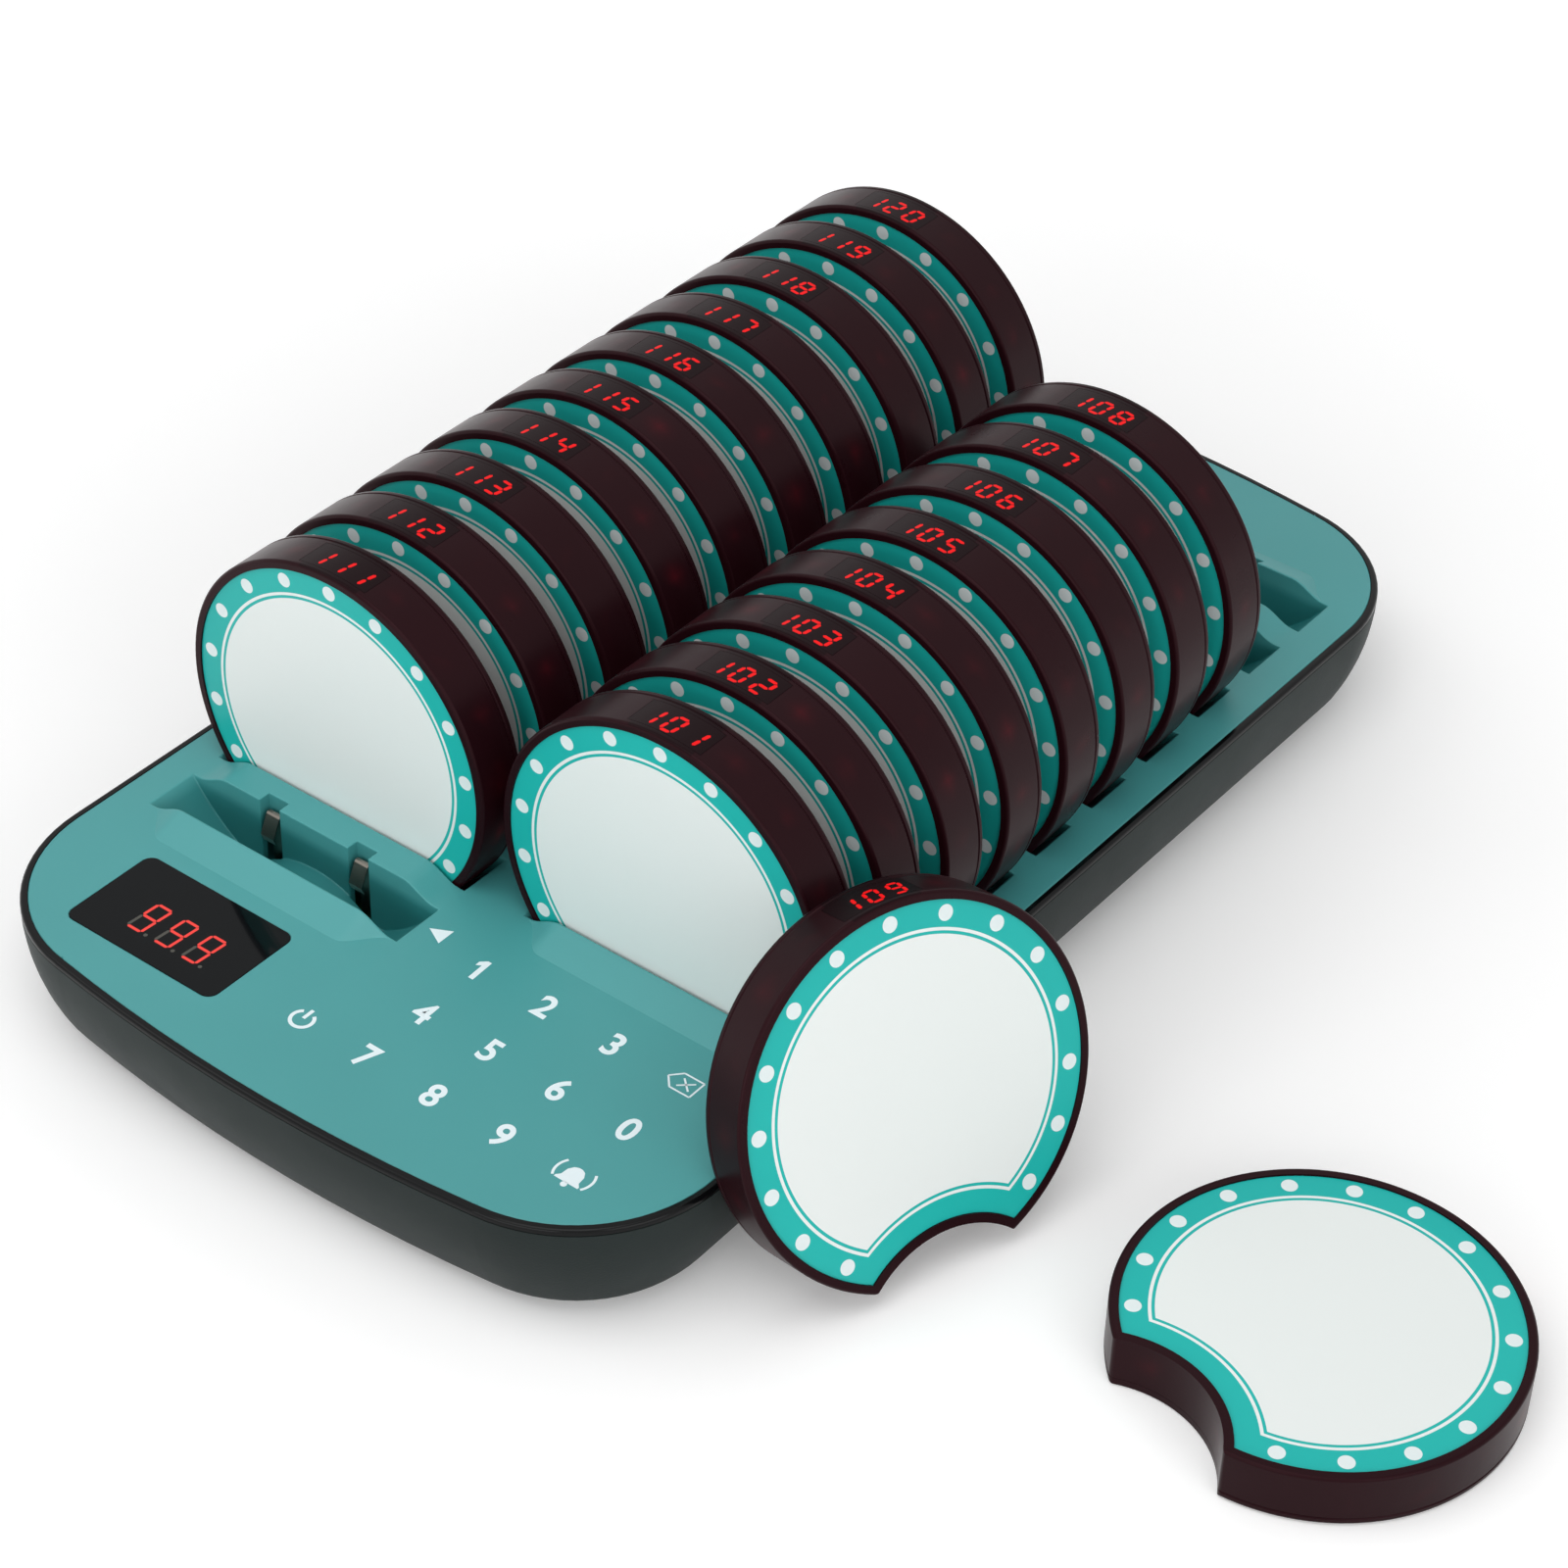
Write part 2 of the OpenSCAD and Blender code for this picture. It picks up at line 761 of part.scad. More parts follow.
module screw(r, l, cap_r, cap_h) {
  rotate([180, 0, 0])
    difference() {
      union() {
        translate([0, 0, -l])
          cylinder(r = r, h = l);
        cylinder(r = cap_r, h = cap_h);
      }
      translate([0, 0, cap_h * 0.4])
        cylinder(r = cap_r * 0.45, h = cap_h, $fn = 6);
    }
}

module board_screw() {
  screw(board_screw_r - pilot, board_screw_l + board_t - 0.5, board_head_r, board_head_h);
}

module screws() {
  color(nickel) {
    for (p = screw_spots)
      translate([p[0], p[1], head_seat])
        screw(screw_r - pilot, screw_l - 1, head_r, head_h);
    for (side = [-1, 1], p = charge_spots(side))
      translate([p[0], p[1], block_z - board_t])
        board_screw();
    for (p = main_posts)
      translate([p[0], p[1], board_top])
        rotate([180, 0, 0])
          board_screw();
  }
}

// ================= pager =================

// A pager's outline seen from its face, with the concave notch and its rounded corners. It is
// drawn in from the outside by inset, except for the two corners.
module face_shape(inset) {
  spread = pager_r;
  to_bite = [tip_x, tip_z + bite_drop] / (bite_r + tip_r);
  outer_touch = [tip_x, tip_z] * pager_r / tip_c;
  bite_touch = [tip_x, tip_z] - to_bite * tip_r;
  difference() {
    circle(pager_r - inset);
    translate([0, -bite_drop])
      circle(bite_r + inset);
    for (s = [-1, 1])
      polygon([
        [s * tip_x, tip_z],
        [s * outer_touch[0], outer_touch[1]],
        [s * outer_touch[0], outer_touch[1] - spread],
        [s * bite_touch[0], bite_touch[1] - spread],
        [s * bite_touch[0], bite_touch[1]]
      ]);
  }
  if (inset == 0)
    for (s = [-1, 1])
      translate([s * tip_x, tip_z])
        circle(tip_r);
}

// A pager's body between two depths, rounded where it meets its face and its back.
module pager_body(from, to) {
  r = pager_r;
  e = pager_edge_r;
  front = from < e ? arc([r - e, e], e, -90, 0, 5) : [[r - 0.3, from], [r, from + 0.3]];
  back = to > pager_t - e ? arc([r - e, pager_t - e], e, 0, 90, 5) : [[r, to - 0.3], [r - 0.3, to]];
  intersection() {
    rotate([-90, 0, 0])
      rotate_extrude($fn = 128)
        polygon(concat([[0, from]], front, back, [[0, to]]));
    upright(pager_t)
      face_shape(0);
  }
}

// The number window's block, cut out of the rim or filled by the window.
module number_block(play) {
  translate([-number_w / 2 - play, number_y - play, pager_r - number_depth - play])
    cube([number_w + 2 * play, number_h + 2 * play, pager_r]);
}

// The opening inside that block's lip, cut deep enough for the display, or the display itself.
module digits_block(play, height) {
  inset = number_lip + digits_play - play;
  translate([inset - number_w / 2, number_y + inset, pager_r - number_depth - digits_drop - play])
    cube([number_w - 2 * inset, number_h - 2 * inset, height]);
}

// The label's outline, grown by play where it is the recess.
module label_shape(play) {
  difference() {
    circle(label_r + play);
    translate([0, -bite_drop])
      circle(label_bite - play);
  }
}

module case_shell() {
  floor_t = 1.6;
  color(dark_red)
    difference() {
      pager_body(0, case_t);
      translate([0, -1, 0])
        upright(recess + 1)
          label_shape(fit_gap);
      translate([0, recess + floor_t, 0])
        upright(pager_t)
          face_shape(pager_wall);
      number_block(fit_gap);
      digits_block(digits_play, digits_drop + number_depth);
    }
}

module number_window() {
  color(gloss_black)
    intersection() {
      along_y(pager_r, pager_t, $fn = 256);
      number_block(0);
    }
}

module back_cover() {
  spigot_t = 2;
  spigot_wall = 1.5;
  pad_sink = 0.3;
  pad_t = 1;
  color(dark_red)
    difference() {
      union() {
        pager_body(case_t + fit_gap, pager_t);
        translate([0, case_t - spigot_t, 0])
          upright(spigot_t + 2 * fit_gap)
            face_shape(pager_wall + fit_gap);
      }
      translate([0, case_t - spigot_t - 1, 0])
        upright(spigot_t + 1)
          face_shape(pager_wall + spigot_wall);
      for (s = [-1, 1])
        translate([s * contact_gap / 2, pager_t - pad_sink, pad_z])
          along_y(pad_r, 1);
      translate([-number_w / 2, case_t - spigot_t - 1, pager_r - number_depth - digits_drop])
        cube([number_w, spigot_t + 1, digits_drop]);
    }
  color(nickel)
    for (s = [-1, 1])
      translate([s * contact_gap / 2, case_t - pad_t, pad_z])
        along_y(pad_r - 1, pad_t + back_t / 2);
}

module label() {
  color(print_white)
    translate([0, recess - label_t, 0])
      upright(label_t)
        label_shape(0);
}

module pager_board() {
  margin = pager_wall + 0.3;
  color(board_green)
    difference() {
      translate([0, pcb_y, 0])
        upright(pcb_t)
          face_shape(margin);
      digits_block(digits_play, 2 * digits_drop);
    }
}

module pager_battery() {
  size = [0.8 * pager_r, 4, 0.6 * pager_r];
  low = -14;
  color(nickel)
    translate([-size[0] / 2, pcb_y + pcb_t, low])
      cube(size);
}

module pager_display() {
  color(charcoal)
    digits_block(0, digits_drop - fit_gap);
}

module pager_motor() {
  spot = [-31, 6];
  motor_r = 5;
  motor_t = 3.4;
  color(nickel)
    translate([spot[0], pcb_y + pcb_t, spot[1]])
      along_y(motor_r, motor_t);
}

// ================= where the pagers are =================

module docked(side, i) {
  translate([side * column_x, well_face(side, i), deck_z + sit_h])
    children();
}

// The leaning pager stands on its two corners, and its back rim meets the base's frame.
lean_z = pager_foot * cos(lean_tilt) + pager_t * sin(lean_tilt);
touch_z = deck_z - rim_round;
touch_up = (touch_z - lean_z + pager_t * sin(lean_tilt)) / (pager_r * cos(lean_tilt));
touch_side = -sqrt(1 - pow(touch_up, 2));
lean_reach = pager_t * cos(lean_tilt) * sin(lean_turn)
  - pager_r * touch_side * cos(lean_turn)
  + pager_r * touch_up * sin(lean_tilt) * sin(lean_turn);
lean_x = half_w + rim_w + seat_play + lean_reach;

module leaning() {
  translate([lean_x, lean_in - half_l, lean_z])
    rotate([-lean_tilt, 0, lean_turn])
      children();
}

module lying() {
  translate([half_w + lying_out, lying_in - half_l, pager_t])
    rotate([-90, 0, lying_turn])
      children();
}

module whole_case() {
  case_shell();
  back_cover();
  number_window();
}

// A pager's place, found from its number.
module at_home(number) {
  if (number == number_lean)
    leaning()
      children();
  else if (number < number_lean)
    docked(1, number - number_first)
      children();
  else
    docked(-1, number - number_left)
      children();
}

top_cover();
rim_frame();
lower_case();
display_window();
display_module();
key_board();
main_board();
charge_boards();
charge_springs();
antenna();
buzzer();
dc_jack();
feet();
screws();
for (n = plain_numbers) {
  at_home(n) whole_case();
  at_home(n) label();
}
lying() case_shell();
lying() back_cover();
lying() number_window();
lying() label();
lying() pager_board();
lying() pager_battery();
lying() pager_display();
lying() pager_motor();
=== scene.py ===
"""Looks of the guest pager system: base with keypad, eighteen docked pagers and two loose ones."""

import math

import bmesh
import bpy
from bpy.props import FloatProperty, FloatVectorProperty, PointerProperty, StringProperty
from mathutils import Matrix, Vector


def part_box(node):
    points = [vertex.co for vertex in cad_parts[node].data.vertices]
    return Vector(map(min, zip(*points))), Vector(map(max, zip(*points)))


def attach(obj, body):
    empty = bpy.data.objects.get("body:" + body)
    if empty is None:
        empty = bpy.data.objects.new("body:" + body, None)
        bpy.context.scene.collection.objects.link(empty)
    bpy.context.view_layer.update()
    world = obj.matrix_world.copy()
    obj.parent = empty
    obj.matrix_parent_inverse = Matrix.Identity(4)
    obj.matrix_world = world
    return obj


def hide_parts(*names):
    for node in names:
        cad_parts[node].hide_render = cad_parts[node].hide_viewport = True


bl_info = {
    "name": "Guest pager system",
    "version": (1, 0, 0),
    "blender": (4, 5, 0),
    "location": "View3D > Sidebar > Guest pagers",
    "description": "Dresses the charging base, its keypad and its twenty round pagers",
    "category": "Object",
}

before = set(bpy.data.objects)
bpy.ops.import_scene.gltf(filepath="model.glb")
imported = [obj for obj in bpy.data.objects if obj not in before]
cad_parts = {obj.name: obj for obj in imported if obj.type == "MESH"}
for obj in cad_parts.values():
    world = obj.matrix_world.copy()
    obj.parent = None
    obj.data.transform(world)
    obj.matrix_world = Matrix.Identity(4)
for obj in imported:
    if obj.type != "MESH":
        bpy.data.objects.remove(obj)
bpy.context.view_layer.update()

MM = 0.001

# Where the pagers are, as in the part's source: millimetres and degrees.
DECK = 34.5 * MM
PAGER_R = 50.0
COLUMN_X = 52.1
DISC_Z = 62.5
RIGHT_FACE_Y = -97.7
LEFT_FACE_Y = -100.0
PITCH = 25.5
LEAN_TILT = 19.0
LEAN_TURN = 72.0
LYING_TURN = -19.0

# The label's print, in millimetres from the middle of the pager's face.
BITE_DROP = 66.3
WHITE_DISC_R = 39.1
LINE_IN = 0.8
LINE_OUT = 1.62
DOT_RING_R = 44.2
DOT_R = 2.05
DOT_STEP = math.radians(20.4)
DOTS_EACH_SIDE = 7.0

# Seven-segment figures, in millimetres: their corner, sizes and slant.
DISPLAY_CORNER = (-65.6, -164.4)
DISPLAY_SIZES = {"width": 5.5, "height": 11.3, "stroke": 0.85, "gap": 0.1, "pitch": 9.45, "slant": 0.065}
DISPLAY_POINT = (6.9, 0.4, 0.3, 0.55)
RIM_CORNER = (-9.2, 2.3)
RIM_SIZES = {"width": 4.2, "height": 7.2, "stroke": 0.95, "gap": 0.2, "pitch": 6.5, "slant": 0.17}

# The number window in a docked pager's rim, in millimetres in the pager's own frame.
WINDOW_HALF = 11.02
WINDOW_FROM = 1.85
WINDOW_TO = 11.75
WINDOW_FLOOR = 48.3

# The charging pads in a pager's back, in the same frame.
PAD_X = 15.5
PAD_Z = -32.0
PAD_REACH = 3.6
PAD_FROM = 14.6
PAD_TO = 14.8

# Spans of the two UV maps, in millimetres.
RIM_SPAN = 400.0
FACE_SPAN = 100.0

# The display and the light ring behind a pager's rim: millimetres, how sharply the display ends and
# each light fades, and the glow's colours away from the lights and at them.
DISPLAY_HALF = 9.7
DISPLAY_CRISP = 4.0
LIGHT_PITCH = 17.8
LIGHT_DEPTH = 6.5
LIGHT_NARROW = 2.6
LIGHT_FALL_PER_MM = 0.16
GLOW_DARK = (0.0022, 0.0, 0.0003, 1.0)
GLOW_LIGHT = (0.034, 0.0006, 0.0022, 1.0)

# Noise on the moulded surfaces: scales, and the contrast and shift that turn it into a mask.
SMUDGE_SCALE = 55.0
DRIFT_CONTRAST = 2.2
DRIFT_SHIFT = -0.6
GLOW_PATCH_SCALE = 60.0
GLOW_CONTRAST = 4.6
GLOW_SHIFT = -2.0

# A face is flat where its normal is nearer than this to the pager's own depth.
FLAT_COSINE = 0.8

# Edges that are rounded and edges that stay hard, by angle, and the gap under which corners merge.
FLAT_ANGLE = math.radians(0.6)
DECK_ROUND_ANGLE = math.radians(32)
DECK_HARD_ANGLE = math.radians(15)
CASE_HARD_ANGLE = math.radians(24)
PAGER_HARD_ANGLE = math.radians(26)
MERGE_GAP = 2e-6

# Painted shade inside the deck's wells, standing in for the light falling off there: the height where the darkening
# starts and the drop over which it is completed, in metres, and what is left of the red, green and blue.
WELL_SHADE_FROM = DECK - 0.3 * MM
WELL_SHADE_OVER = 3.0 * MM
WELL_SHADE_SHARES = (0.4, 0.66, 0.66)

# The keypad's print: its height over the deck and thickness in metres, and the figures' own shape.
PRINT_RISE = 0.00001
PRINT_T = 0.00003
FIGURE_SHARE = 0.70
FIGURE_WEIGHT = 0.00026
FIGURE_WIDTH = 0.94
FIGURE_LEAN = -0.04

# The floor and the surroundings: metres, and the light that they give off of their own.
FLOOR_WHITE = 0.93
FLOOR_HALF = 6.0
FLOOR_DROP = 0.0004
FLOOR_LIFT = 0.05
FLOOR_LIFT_PER_M = 0.6
WORLD_FILL = 0.5

# Lamps: place, aim, width and height in metres, and watts.
LAMPS = {
    "left_softbox": ((-1.3, -0.9, 1.7), (0.0, 0.0, 0.05), (1.2, 1.2), 6.0),
    "front_softbox": ((0.3, -2.1, 0.8), (0.0, 0.0, 0.05), (1.6, 0.9), 10.0),
    "top_softbox": ((0.15, -0.45, 1.4), (0.05, -0.05, 0.0), (1.0, 1.0), 6.0),
    "right_softbox": ((1.9, -0.7, 0.9), (0.1, -0.05, 0.05), (1.2, 1.2), 8.0),
}

# The camera of the photograph: degrees, how far the target lies right, up and ahead of it in units
# of CAMERA_UNIT, the focal length in frame widths, and the target in metres.
CAMERA_AZIMUTH = 36.78
CAMERA_ELEVATION = 38.38
CAMERA_ROLL = 1.79
CAMERA_OFFSET = (-1.615, -0.16, 22.06)
CAMERA_UNIT = 44.2 * MM
CAMERA_FOCAL = 3996.0 / 1600.0
CAMERA_TARGET = (0.0, -97.1 * MM, 62.5 * MM)
SENSOR = 36.0

DOCKED = list(range(101, 109)) + list(range(111, 121))
LEANING = 109
LYING = 110
NUMBERS = range(101, 121)

# Which of the seven segments each figure lights: top, upper right, lower right, bottom, lower
# left, upper left, middle.
LIT = {
    "0": "abcdef", "1": "bc", "2": "abdeg", "3": "abcdg", "4": "bcfg",
    "5": "acdfg", "6": "acdefg", "7": "abc", "8": "abcdefg", "9": "abcdfg",
}


def linear(red, green, blue):
    """A colour given on the screen's 0 to 255 scale, as scene-linear values."""
    def channel(value):
        value /= 255
        return value / 12.92 if value <= 0.04045 else ((value + 0.055) / 1.055) ** 2.4
    return (channel(red), channel(green), channel(blue), 1.0)


def local_matrix(number):
    """Where a pager's own frame is: its face's centre at the origin, y to its back, z up."""
    if number == LEANING:
        low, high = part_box("pager_109_case")
        tilt = Matrix.Rotation(math.radians(-LEAN_TILT), 4, "X")
        turn = Matrix.Rotation(math.radians(LEAN_TURN), 4, "Z")
        place = turn @ tilt
        reach = pager_reach(place)
        return Matrix.Translation(low - reach) @ place
    if number == LYING:
        low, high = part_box("pager_110_case")
        place = Matrix.Rotation(math.radians(LYING_TURN), 4, "Z") @ Matrix.Rotation(math.radians(-90), 4, "X")
        centre = Vector((low.x + PAGER_R * MM, high.y - PAGER_R * MM, high.z))
        return Matrix.Translation(centre) @ place
    right = number < LEANING
    index = number - (101 if right else 111)
    face = (RIGHT_FACE_Y if right else LEFT_FACE_Y) + index * PITCH
    return Matrix.Translation(Vector(((COLUMN_X if right else -COLUMN_X), face, DISC_Z)) * MM)


def pager_reach(place):
    """The lowest corner of a turned pager's box, from the centre of its face."""
    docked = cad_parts["pager_101_case"].data.vertices
    home = local_matrix(101).inverted()
    points = [place @ (home @ v.co) for v in docked]
    return Vector([min(p[axis] for p in points) for axis in range(3)])


# ---------------------------------------------------------------- materials

def new_group(name, inputs, outputs):
    """An empty shader group with named sockets."""
    group = bpy.data.node_groups.new(name, "ShaderNodeTree")
    for label, kind, default in inputs:
        socket = group.interface.new_socket(name=label, in_out="INPUT", socket_type=kind)
        socket.default_value = default
    for label, kind in outputs:
        group.interface.new_socket(name=label, in_out="OUTPUT", socket_type=kind)
    return group, group.nodes.new("NodeGroupInput"), group.nodes.new("NodeGroupOutput")


def math_node(tree, operation, first, second=None, third=None, clamp=False):
    """A math node fed by sockets or plain numbers; returns its result."""
    node = tree.nodes.new("ShaderNodeMath")
    node.operation = operation
    node.use_clamp = clamp
    for slot, value in enumerate((first, second, third)):
        if value is None:
            continue
        if isinstance(value, (int, float)):
            node.inputs[slot].default_value = value
        else:
            tree.links.new(value, node.inputs[slot])
    return node.outputs[0]


def mix_colour(tree, factor, first, second):
    """Two colours blended by a mask."""
    node = tree.nodes.new("ShaderNodeMix")
    node.data_type = "RGBA"
    for socket, value in ((node.inputs[0], factor), (node.inputs[6], first), (node.inputs[7], second)):
        if isinstance(value, (tuple, list, float, int)):
            socket.default_value = value
        else:
            tree.links.new(value, socket)
    return node.outputs[2]


def noise(tree, place, scale, detail=3.0, roughness=0.55):
    """A noise texture's factor at a position."""
    node = tree.nodes.new("ShaderNodeTexNoise")
    node.inputs["Detail"].default_value = detail
    node.inputs["Roughness"].default_value = roughness
    tree.links.new(place, node.inputs["Vector"])
    if isinstance(scale, (int, float)):
        node.inputs["Scale"].default_value = scale
    else:
        tree.links.new(scale, node.inputs["Scale"])
    return node.outputs[0]


def darker(colour, share):
    """A colour with each channel reduced to a share of itself."""
    return tuple(share * c for c in colour[:3]) + (1.0,)


def moulded_group():
    """Moulded surface: slow colour drift, fine grain, and smudges that change the gloss."""
    group, given, result = new_group(
        "moulded_surface",
        (("Colour", "NodeSocketColor", (0.5, 0.5, 0.5, 1)), ("Drift colour", "NodeSocketColor", (0.4, 0.4, 0.4, 1)),
         ("Drift scale", "NodeSocketFloat", 14.0), ("Grain scale", "NodeSocketFloat", 1400.0),
         ("Roughness", "NodeSocketFloat", 0.4), ("Smudge", "NodeSocketFloat", 0.08)),
        (("Colour", "NodeSocketColor"), ("Roughness", "NodeSocketFloat"), ("Height", "NodeSocketFloat")),
    )
    place = group.nodes.new("ShaderNodeTexCoord").outputs["Object"]
    drift = noise(group, place, given.outputs["Drift scale"], 2.0)
    speck = noise(group, place, given.outputs["Grain scale"], 2.0)
    smudge = noise(group, place, SMUDGE_SCALE, 4.0, 0.65)
    mask = math_node(group, "MULTIPLY_ADD", drift, DRIFT_CONTRAST, DRIFT_SHIFT, clamp=True)
    toned = mix_colour(group, mask, given.outputs["Colour"], given.outputs["Drift colour"])
    centred = math_node(group, "SUBTRACT", smudge, 0.5)
    swing = math_node(group, "MULTIPLY", centred, given.outputs["Smudge"])
    rough = math_node(group, "ADD", swing, given.outputs["Roughness"], clamp=True)
    group.links.new(toned, result.inputs["Colour"])
    group.links.new(rough, result.inputs["Roughness"])
    group.links.new(speck, result.inputs["Height"])
    return group


def label_group():
    """The label's print, drawn on the UV map: masks for its white parts and for its dots."""
    group, given, result = new_group(
        "label_print", (("Dot radius", "NodeSocketFloat", DOT_R),),
        (("White", "NodeSocketFloat"), ("Dots", "NodeSocketFloat")),
    )
    uv = group.nodes.new("ShaderNodeUVMap")
    uv.uv_map = "print"
    parts = group.nodes.new("ShaderNodeSeparateXYZ")
    group.links.new(uv.outputs[0], parts.inputs[0])
    across = math_node(group, "MULTIPLY_ADD", parts.outputs[0], FACE_SPAN, -FACE_SPAN / 2)
    upward = math_node(group, "MULTIPLY_ADD", parts.outputs[1], FACE_SPAN, -FACE_SPAN / 2)

    def distance(dx, dy):
        total = math_node(group, "ADD", math_node(group, "MULTIPLY", dx, dx), math_node(group, "MULTIPLY", dy, dy))
        return math_node(group, "SQRT", total)

    radius = distance(across, upward)
    from_bite = distance(across, math_node(group, "ADD", upward, BITE_DROP))
    past_disc = math_node(group, "SUBTRACT", radius, WHITE_DISC_R)
    inside_bite = math_node(group, "SUBTRACT", WHITE_DISC_R, from_bite)
    inset = math_node(group, "MAXIMUM", past_disc, inside_bite)

    def below(value, limit, crisp=14.0):
        edge = math_node(group, "MULTIPLY_ADD", value, -crisp, crisp * limit + 0.5)
        node = math_node(group, "MINIMUM", edge, 1.0)
        return math_node(group, "MAXIMUM", node, 0.0)

    disc = below(inset, 0.0)
    line = math_node(group, "SUBTRACT", below(inset, LINE_OUT), below(inset, LINE_IN))
    turn = math_node(group, "ARCTAN2", across, upward)
    index = math_node(group, "ROUND", math_node(group, "DIVIDE", turn, DOT_STEP))
    index = math_node(group, "MAXIMUM", math_node(group, "MINIMUM", index, DOTS_EACH_SIDE), -DOTS_EACH_SIDE)
    angle = math_node(group, "MULTIPLY", index, DOT_STEP)
    dot_x = math_node(group, "MULTIPLY", math_node(group, "SINE", angle), DOT_RING_R)
    dot_y = math_node(group, "MULTIPLY", math_node(group, "COSINE", angle), DOT_RING_R)
    to_dot = distance(math_node(group, "SUBTRACT", across, dot_x), math_node(group, "SUBTRACT", upward, dot_y))
    gap = math_node(group, "SUBTRACT", to_dot, given.outputs[0])
    group.links.new(math_node(group, "ADD", disc, line, clamp=True), result.inputs["White"])
    group.links.new(below(gap, 0.0), result.inputs["Dots"])
    return group


def material(name):
    """A new material with its Principled shader; the shader and its tree are returned too."""
    made = bpy.data.materials.new(name)
    made.use_nodes = True
    tree = made.node_tree
    return made, tree, tree.nodes["Principled BSDF"]


def add_bump(tree, shader, height, strength, distance):
    """Fine relief from a height."""
    bump = tree.nodes.new("ShaderNodeBump")
    bump.inputs["Strength"].default_value = strength
    bump.inputs["Distance"].default_value = distance
    tree.links.new(height, bump.inputs["Height"])
    tree.links.new(bump.outputs[0], shader.inputs["Normal"])


def moulded(name, group, colour, drift, rough, smudge=0.08, grain=1400.0, relief=0.06, coat=0.0, drift_scale=14.0,
            shine=0.3):
    """A moulded plastic, rubber or board finish."""
    made, tree, shader = material(name)
    node = tree.nodes.new("ShaderNodeGroup")
    node.node_tree = group
    node.inputs["Colour"].default_value = colour
    node.inputs["Drift colour"].default_value = drift
    node.inputs["Drift scale"].default_value = drift_scale
    node.inputs["Grain scale"].default_value = grain
    node.inputs["Roughness"].default_value = rough
    node.inputs["Smudge"].default_value = smudge
    tree.links.new(node.outputs["Colour"], shader.inputs["Base Color"])
    tree.links.new(node.outputs["Roughness"], shader.inputs["Roughness"])
    add_bump(tree, shader, node.outputs["Height"], relief, 0.0004)
    shader.inputs["Specular IOR Level"].default_value = shine
    shader.inputs["Coat Weight"].default_value = coat
    shader.inputs["Coat Roughness"].default_value = 0.06
    return made


def deepened(made, colour):
    """A finish with painted shade inside the deck's wells: its colour darkens below the deck's top, standing in for
    the light falling off there.
    """
    tree = made.node_tree
    shader = tree.nodes["Principled BSDF"]
    surface = shader.inputs["Base Color"].links[0].from_socket
    parts = tree.nodes.new("ShaderNodeSeparateXYZ")
    tree.links.new(tree.nodes.new("ShaderNodeTexCoord").outputs["Object"], parts.inputs[0])
    # Painted shade: 0 at and above the start height, 1 once the drop below it is passed.
    mask = math_node(tree, "MULTIPLY_ADD", parts.outputs[2], -1.0 / WELL_SHADE_OVER, WELL_SHADE_FROM / WELL_SHADE_OVER, clamp=True)
    tree.links.new(mix_colour(tree, mask, surface, colour), shader.inputs["Base Color"])
    return made


def metal(name, group, colour, rough):
    """A plated or brushed metal."""
    made = moulded(name, group, colour, darker(colour, 0.8), rough, smudge=0.25, grain=2400.0, relief=0.08,
                   shine=0.5)
    made.node_tree.nodes["Principled BSDF"].inputs["Metallic"].default_value = 1.0
    return made


def glowing(name, colour, strength, body):
    """A light-emitting segment behind its smoked window."""
    made, tree, shader = material(name)
    place = tree.nodes.new("ShaderNodeTexCoord").outputs["Object"]
    patch = noise(tree, place, 900.0, 1.0)
    toned = mix_colour(tree, patch, colour, darker(colour, 0.82))
    tree.links.new(toned, shader.inputs["Emission Color"])
    shader.inputs["Emission Strength"].default_value = strength
    shader.inputs["Base Color"].default_value = body
    shader.inputs["Roughness"].default_value = 0.25
    shader.inputs["Specular IOR Level"].default_value = 0.1
    return made


def rim_group():
    """What shows through a pager's rim: the dark display behind its number, and its light ring."""
    group, given, result = new_group(
        "rim_depth",
        (("Half width", "NodeSocketFloat", DISPLAY_HALF), ("Light pitch", "NodeSocketFloat", LIGHT_PITCH)),
        (("Display", "NodeSocketFloat"), ("Glow", "NodeSocketFloat")),
    )
    uv = group.nodes.new("ShaderNodeUVMap")
    uv.uv_map = "rim"
    parts = group.nodes.new("ShaderNodeSeparateXYZ")
    group.links.new(uv.outputs[0], parts.inputs[0])
    along = math_node(group, "MULTIPLY_ADD", parts.outputs[0], RIM_SPAN, -RIM_SPAN / 2)
    depth = math_node(group, "MULTIPLY", parts.outputs[1], FACE_SPAN)
    beyond = math_node(group, "SUBTRACT", math_node(group, "ABSOLUTE", along), given.outputs[0])
    display = math_node(group, "MULTIPLY_ADD", beyond, -DISPLAY_CRISP, 0.5, clamp=True)
    step = math_node(group, "DIVIDE", along, given.outputs[1])
    offset = math_node(group, "SUBTRACT", step, math_node(group, "ROUND", step))
    near = math_node(group, "MULTIPLY_ADD", math_node(group, "ABSOLUTE", offset), -LIGHT_NARROW, 1.0, clamp=True)
    middle = math_node(group, "ABSOLUTE", math_node(group, "SUBTRACT", depth, LIGHT_DEPTH))
    band = math_node(group, "MULTIPLY_ADD", middle, -LIGHT_FALL_PER_MM, 1.0, clamp=True)
    spot = math_node(group, "MULTIPLY", near, band)
    glow = math_node(group, "MULTIPLY", spot, spot)
    group.links.new(display, result.inputs["Display"])
    group.links.new(glow, result.inputs["Glow"])
    return group


